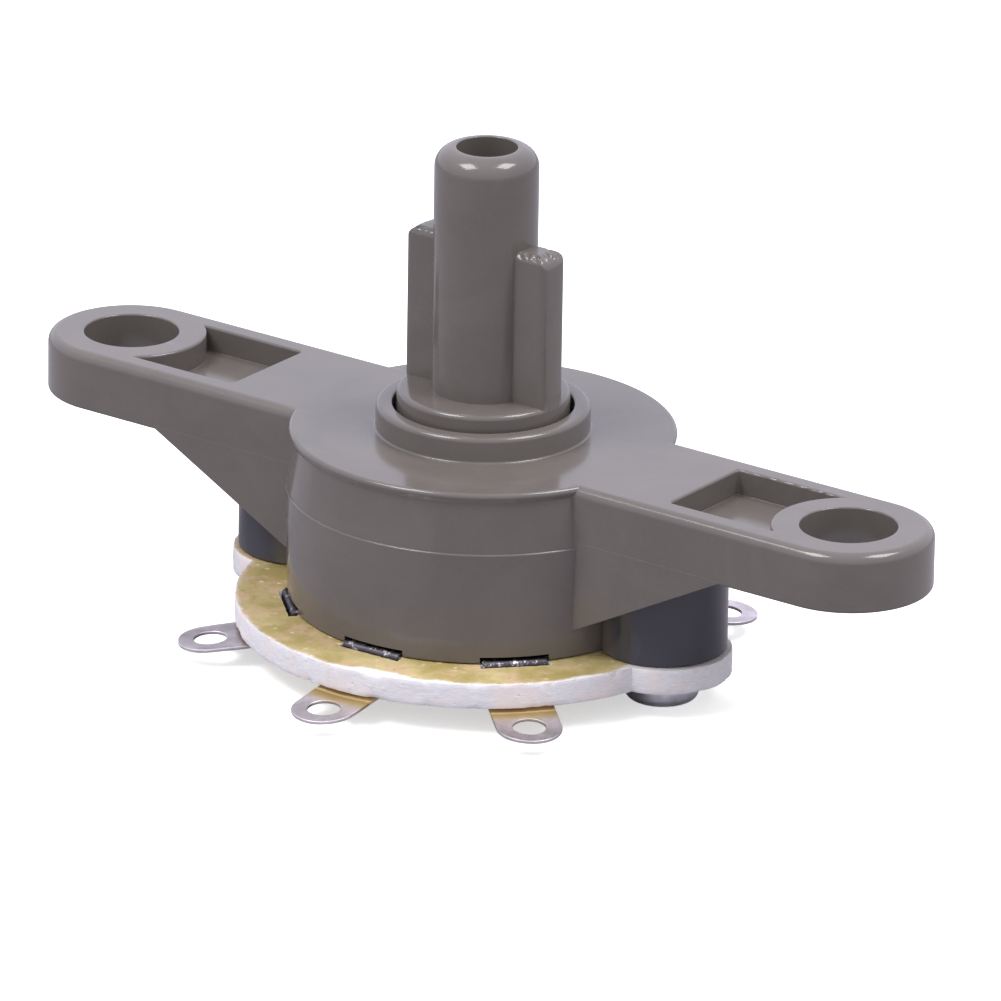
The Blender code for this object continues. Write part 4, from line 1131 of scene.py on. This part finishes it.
class SWITCH_OT_terminals(bpy.types.Operator):
    """Blank, pierce and fold the six terminals"""

    bl_idname = "switch.terminals"
    bl_label = "Terminals"

    def execute(self, context):
        sizes = context.scene.switch_wafer
        tin = context.scene.switch_finishes.tin
        sheet = {"roughness": 0.42, "grain_mm": 0.002, "dents_mm": 0.02, "fold_reach": sizes.fold_reach}
        plain = metal("tinned_sheet", tin, **sheet)
        stained = metal("stained_tinned_sheet", tin, **sheet, varnish_reach=sizes.wafer_radius + 0.6 * MM)
        pad_z = WAFER_TOP_Z + SEAT + sizes.sheet / 2
        under_z = WAFER_BOTTOM_Z - SEAT - sizes.sheet / 2
        droop = math.radians(LUG_DROOP_DEG)
        radius = sizes.fold_radius
        flat = sizes.fold_reach - radius - sizes.pad_reach
        fold = radius * math.pi / 2
        opened = radius * (math.pi / 2 - droop)
        upright = pad_z - under_z - radius - radius
        ends = np.cumsum((0.0, flat, fold, upright, opened))
        for number, (degrees, reach) in enumerate(zip(TERMINAL_BEARINGS_DEG, LUG_REACH), start=1):
            lug_start = sizes.fold_reach + radius * (1 - math.sin(droop))
            lug_end = ends[-1] + (reach - lug_start) / math.cos(droop)
            stop = lug_end + sizes.terminal_width
            blank = shell(f"blank_{number}", blank_grid(sizes, lug_end), cap_ends=True)
            soft = 0.05 * MM
            rings = edge_rings(-sizes.sheet / 2, sizes.sheet / 2, -soft, -soft, 3)
            profile = chain((0.0, rings[0, 0]), np.stack((sizes.lug_hole - rings[:, 1], rings[:, 0]), axis=1),
                            (0.0, rings[-1, 0]))
            combine(blank, [turned("pierce", profile, SMALL_STEPS, shift(lug_end))], "DIFFERENCE")
            points = np.empty(len(blank.data.vertices) * 3, np.float32)
            blank.data.vertices.foreach_get("co", points)
            points = points.reshape(-1, 3).astype(float)
            dent = 0.02 * MM * ripple(points[:, :2], 4.0 * MM, SEED + number)
            points[:, 2] += dent * np.clip((points[:, 0] - ends[-1]) / MM, 0, 1)
            headings = (0.0, 0.0, -math.pi / 2, -math.pi / 2, -droop, -droop)
            points = folded(points, np.append(ends, stop), headings)
            points += np.array((sizes.pad_reach, 0.0, pad_z))
            points = bearing(degrees)(points)
            blank.data.vertices.foreach_set("co", points.astype(np.float32).ravel())
            blank.data.update()
            smooth(blank, crease_deg=40.0)
            finish = stained if number in STAINED_TERMINALS else plain
            dress(blank, finish, "base", f"terminal_{number}")
        return {"FINISHED"}


class SWITCH_OT_rivets(bpy.types.Operator):
    """Build the two drive rivets"""

    bl_idname = "switch.rivets"
    bl_label = "Rivets"

    def execute(self, context):
        sizes = context.scene.switch_wafer
        finish = metal("rivet_metal", context.scene.switch_finishes.rivet, roughness=0.36,
                       grain_mm=0.003, dents_mm=0.03)
        tip = 0.25 * MM
        profile = chain((0.0, RIVET_TOP_Z), (sizes.rivet_shank - tip, RIVET_TOP_Z),
                        (sizes.rivet_shank, RIVET_TOP_Z - tip), (sizes.rivet_shank, sizes.rivet_height),
                        arc((sizes.rivet_head - 0.1 * MM, sizes.rivet_height - 0.1 * MM), 0.1 * MM, 90, 0, 4),
                        arc((sizes.rivet_head - sizes.rivet_round, sizes.rivet_round), sizes.rivet_round,
                            0, -90, 12), (0.0, 0.0))
        for node, sign in (("rivet_left", -1), ("rivet_right", 1)):
            rivet = turned(node + "_turned", profile, SMALL_STEPS, shift(sign * RIVET_X))
            smooth(rivet)
            dress(rivet, finish, "base", node)
        return {"FINISHED"}


# Inside: balls, springs and the contact bridge


def coil(name, radius, wire, height, move):
    """A helical spring with closed ends.

    The wire's middle runs at (R cos a, R sin a, z(a)). z climbs by one wire in the first and in the last
    turn, and evenly between. The tube's section stands on the radial and the upright direction.
    """
    angle = np.linspace(0.0, 2 * math.pi * COIL_TURNS, 40 * COIL_TURNS + 1)
    closed = 2 * wire * 1.03
    marks = 2 * math.pi * np.array((0.0, 1.0, COIL_TURNS - 1.0, COIL_TURNS))
    climb = np.interp(angle, marks, (0.0, closed, height - 2 * wire - closed, height - 2 * wire))
    around = np.linspace(0.0, 2 * math.pi, 16, endpoint=False)
    thick = np.full(len(angle) + 2, wire)
    thick[[0, -1]] = 0.0
    angle = np.concatenate((angle[:1], angle, angle[-1:]))
    climb = np.concatenate((climb[:1], climb, climb[-1:]))
    out = radius + thick[:, None] * np.cos(around)
    grid = np.stack((out * np.cos(angle)[:, None], out * np.sin(angle)[:, None],
                     wire + climb[:, None] + thick[:, None] * np.sin(around)), axis=-1)
    return smooth(shell(name, move(grid)), crease_deg=50.0)


class SWITCH_OT_detents(bpy.types.Operator):
    """Build the two balls and their springs"""

    bl_idname = "switch.detents"
    bl_label = "Detents"

    def execute(self, context):
        sizes = context.scene.switch_contacts
        color = context.scene.switch_finishes.steel
        steel = metal("ball_steel", color, roughness=0.2, grain_mm=0.0005, dents_mm=0.002, darker=0.9)
        wire = metal("spring_wire", color, roughness=0.3, grain_mm=0.002, dents_mm=0.004)
        foot = ball_disc_radius(context) - sizes.ball_pocket + SLIP
        height = BALL_REACH - sizes.ball_radius - SLIP - foot
        for side, degrees in (("right", 0), ("left", 180)):
            profile = arc((0.0, BALL_REACH), sizes.ball_radius, 90, -90, 40)
            profile[[0, -1], 0] = 0.0
            ball = smooth(turned("ball_" + side, profile, SMALL_STEPS, lying(degrees, BALL_Z)))
            dress(ball, steel, "ball_" + side, "detent_ball_" + side)
            along = lying(degrees, BALL_Z)
            spring = coil("spring_" + side, sizes.ball_radius - SLIP - sizes.ball_wire, sizes.ball_wire,
                          height, lambda grid: along(grid + np.array((0.0, 0.0, foot))))
            dress(spring, wire, "rotor", "detent_spring_" + side)
        return {"FINISHED"}


class SWITCH_OT_bridge(bpy.types.Operator):
    """Build the contact blade with its buttons and its spring"""

    bl_idname = "switch.bridge"
    bl_label = "Contact bridge"

    def execute(self, context):
        sizes = context.scene.switch_contacts
        tones = context.scene.switch_finishes
        half = sizes.blade_width / 2
        straight = sizes.blade_half_length - half
        plan = chain(arc((straight, 0.0), half, -90, 90, 32), arc((-straight, 0.0), half, 90, 270, 32))
        blade = slab("blade_sheet", plan, edge_rings(BLADE_BOTTOM_Z, BLADE_TOP_Z, 0.06 * MM, 0.06 * MM, 3))
        hole = plug(sizes.tenon_radius + SLIP, BLADE_TOP_Z + OVERLAP, BLADE_BOTTOM_Z - OVERLAP)
        combine(blade, [turned(f"hole_{sign}", hole, 36, shift(sign * sizes.button_reach))
                        for sign in (-1, 1)], "DIFFERENCE")
        smooth(blade)
        bronze = metal("bronze_sheet_metal", tones.bronze, roughness=0.32, grain_mm=0.002, dents_mm=0.01)
        silver = metal("silver_contact", tones.silver, roughness=0.25, grain_mm=0.001, dents_mm=0.01)
        wire = metal("contact_wire", tones.steel, roughness=0.3, grain_mm=0.002, dents_mm=0.004)
        dress(blade, bronze, "bridge", "bridge_blade")
        bottom = BLADE_BOTTOM_Z - sizes.button_height
        round_part = sizes.button_height / 2
        tenon_top = BLADE_TOP_Z + SLIP
        profile = chain((0.0, tenon_top), (sizes.tenon_radius, tenon_top),
                        (sizes.tenon_radius, BLADE_BOTTOM_Z - SEAT),
                        (sizes.button_radius, BLADE_BOTTOM_Z - SEAT),
                        arc((sizes.button_radius - round_part, bottom + round_part), round_part, 0, -90, 10),
                        (0.0, bottom))
        for node, sign in (("contact_button_left", -1), ("contact_button_right", 1)):
            button = smooth(turned(node + "_turned", profile, 48, shift(sign * sizes.button_reach)))
            dress(button, silver, "bridge", node)
        foot_z, head_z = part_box("contact_spring")[0].z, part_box("contact_spring")[1].z
        spring = coil("contact_coil", sizes.coil_radius, sizes.coil_wire, head_z - foot_z, shift(z=foot_z))
        dress(spring, wire, "rotor", "contact_spring")
        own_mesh(spring)
        return {"FINISHED"}


# The stage


class SWITCH_OT_stage(bpy.types.Operator):
    """Set the floor, the light and the camera at the photograph's viewing angle"""

    bl_idname = "switch.stage"
    bl_label = "Stage"

    def execute(self, context):
        settings = context.scene.switch_stage
        self.floor(settings)
        self.room(settings)
        self.lights(settings)
        self.camera(context)
        context.scene.view_settings.view_transform = "Standard"
        return {"FINISHED"}

    def floor(self, settings):
        """A wide round floor at the rivet heads, white to the camera where nothing shades it."""
        floor_radius = 3.0
        radius = np.linspace(0.0, floor_radius, 13)
        grid = turned_grid(np.stack((radius, np.zeros_like(radius)), axis=1), 64)
        floor = shell("floor", grid)
        finish = Finish("pale_floor")
        finish.set(Roughness=0.9, Specular_IOR_Level=0.1)
        seen = finish.node("LightPath", output="Is Camera Ray")
        soft = finish.noise(0.004, 2.0)
        tint = finish.mix(soft, shade(settings.floor_tone, 0.995), shade(settings.floor_tone, 1.005))
        tint = finish.mix(seen, shade(settings.bounce_tone), tint)
        glow = finish.mix(seen, (0.0, 0.0, 0.0, 1.0), (1.0, 1.0, 1.0, 1.0))
        finish.wear(tint, glow=glow).set(Emission_Strength=settings.floor_glow)
        floor.data.materials.append(finish.material)

    def room(self, settings):
        """White to the camera and in reflections, and the room's own light on everything else."""
        world = bpy.data.worlds.new("pale_room")
        world.use_nodes = True
        tree = world.node_tree
        background = tree.nodes["Background"]
        path = tree.nodes.new("ShaderNodeLightPath")
        camera, glossy, through = (Socket(tree, path.outputs[name]) for name in (
            "Is Camera Ray", "Is Glossy Ray", "Is Transmission Ray"))
        white = camera.most(through)
        strength = (white + glossy * settings.mirrored_strength
                    + (1.0 - white.most(glossy)) * settings.room_strength)
        tree.links.new(strength.output, background.inputs["Strength"])
        tint = tree.nodes.new("ShaderNodeMix")
        tint.data_type = "RGBA"
        tree.links.new(glossy.output, tint.inputs[0])
        tint.inputs[6].default_value = (1.0, 1.0, 1.0, 1.0)
        tint.inputs[7].default_value = (*settings.mirrored_tone, 1.0)
        tree.links.new(tint.outputs[2], background.inputs["Color"])
        bpy.context.scene.world = world

    def lights(self, settings):
        """Two soft boxes over the switch, to the camera's left and right."""
        heading = (-0.587, 0.809, 0.0)
        distance = 0.7
        target_z = 0.02
        for name, direction in (("soft_box_left", (-0.274, -0.456, 0.846)),
                                ("soft_box_right", (0.450, 0.185, 0.873))):
            light = bpy.data.lights.new(name, "AREA")
            light.shape = "RECTANGLE"
            light.size = 0.28
            light.size_y = 0.34
            light.energy = settings.box_power
            item = bpy.data.objects.new(name, light)
            bpy.context.scene.collection.objects.link(item)
            away = np.array(direction) / np.linalg.norm(direction)
            side = np.cross(heading, away)
            side /= np.linalg.norm(side)
            up = np.cross(away, side)
            matrix = np.eye(4)
            matrix[:3, 0], matrix[:3, 1], matrix[:3, 2] = side, up, away
            matrix[:3, 3] = away * distance + np.array((0.0, 0.0, target_z))
            item.matrix_world = Matrix(matrix.tolist())

    def camera(self, context):
        """A long lens at the photograph's azimuth, elevation and roll, framed as the photograph is."""
        azimuth, elevation, roll = math.radians(35.9717), math.radians(20.8641), math.radians(0.8947)
        distance = 698.23 * MM
        focal_px = 12189.5
        half_image = 500.5
        target = (482.96, 425.676)
        target_z = 13.44 * MM
        back = np.array((math.sin(azimuth) * math.cos(elevation), -math.cos(azimuth) * math.cos(elevation),
                         math.sin(elevation)))
        right = np.array((math.cos(azimuth), math.sin(azimuth), 0.0))
        up = np.cross(back, right)
        side = right * math.cos(roll) + up * math.sin(roll)
        top = up * math.cos(roll) - right * math.sin(roll)
        across = (target[0] - half_image) / focal_px * distance
        above = (half_image - target[1]) / focal_px * distance
        eye = back * distance - side * across - top * above + np.array((0.0, 0.0, target_z))
        camera = bpy.data.cameras.new("photo_camera")
        camera.sensor_fit = "HORIZONTAL"
        camera.sensor_width = 36.0
        camera.lens = focal_px * camera.sensor_width / (2 * half_image)
        camera.clip_start = 0.01
        camera.clip_end = 50.0
        item = bpy.data.objects.new("photo_camera", camera)
        context.scene.collection.objects.link(item)
        matrix = np.eye(4)
        matrix[:3, 0], matrix[:3, 1], matrix[:3, 2], matrix[:3, 3] = side, top, back, eye
        item.matrix_world = Matrix(matrix.tolist())
        context.scene.camera = item


STEPS = (SWITCH_OT_housing, SWITCH_OT_rotor, SWITCH_OT_wafer, SWITCH_OT_terminals, SWITCH_OT_rivets,
         SWITCH_OT_detents, SWITCH_OT_bridge, SWITCH_OT_stage)

GROUPS = {
    "switch_housing": SwitchHousingSizes,
    "switch_rotor": SwitchRotorSizes,
    "switch_wafer": SwitchWaferSizes,
    "switch_contacts": SwitchContactSizes,
    "switch_finishes": SwitchFinishes,
    "switch_stage": SwitchStageSettings,
}


class SWITCH_PT_panel(bpy.types.Panel):
    """The steps that build the switch, and the sizes and colours that they read"""

    bl_idname = "SWITCH_PT_panel"
    bl_label = "Rotary Wafer Switch"
    bl_space_type = "VIEW_3D"
    bl_region_type = "UI"
    bl_category = "Switch"

    def draw(self, context):
        layout = self.layout
        for step in STEPS:
            layout.operator(step.bl_idname)
        for name, group in GROUPS.items():
            box = layout.box()
            box.label(text=group.__doc__)
            for field in group.__annotations__:
                box.prop(getattr(context.scene, name), field)


def register():
    """Register the property groups, the steps and the panel."""
    for group in GROUPS.values():
        bpy.utils.register_class(group)
    for name, group in GROUPS.items():
        setattr(bpy.types.Scene, name, PointerProperty(type=group))
    for step in STEPS:
        bpy.utils.register_class(step)
    bpy.utils.register_class(SWITCH_PT_panel)


def unregister():
    """Take everything that register added away again."""
    bpy.utils.unregister_class(SWITCH_PT_panel)
    for step in reversed(STEPS):
        bpy.utils.unregister_class(step)
    for name, group in reversed(GROUPS.items()):
        delattr(bpy.types.Scene, name)
        bpy.utils.unregister_class(group)


def main():
    """Register the add-on, and build every piece and the stage."""
    register()
    for step in STEPS:
        family, name = step.bl_idname.split(".")
        getattr(getattr(bpy.ops, family), name)()


if __name__ == "__main__":
    main()
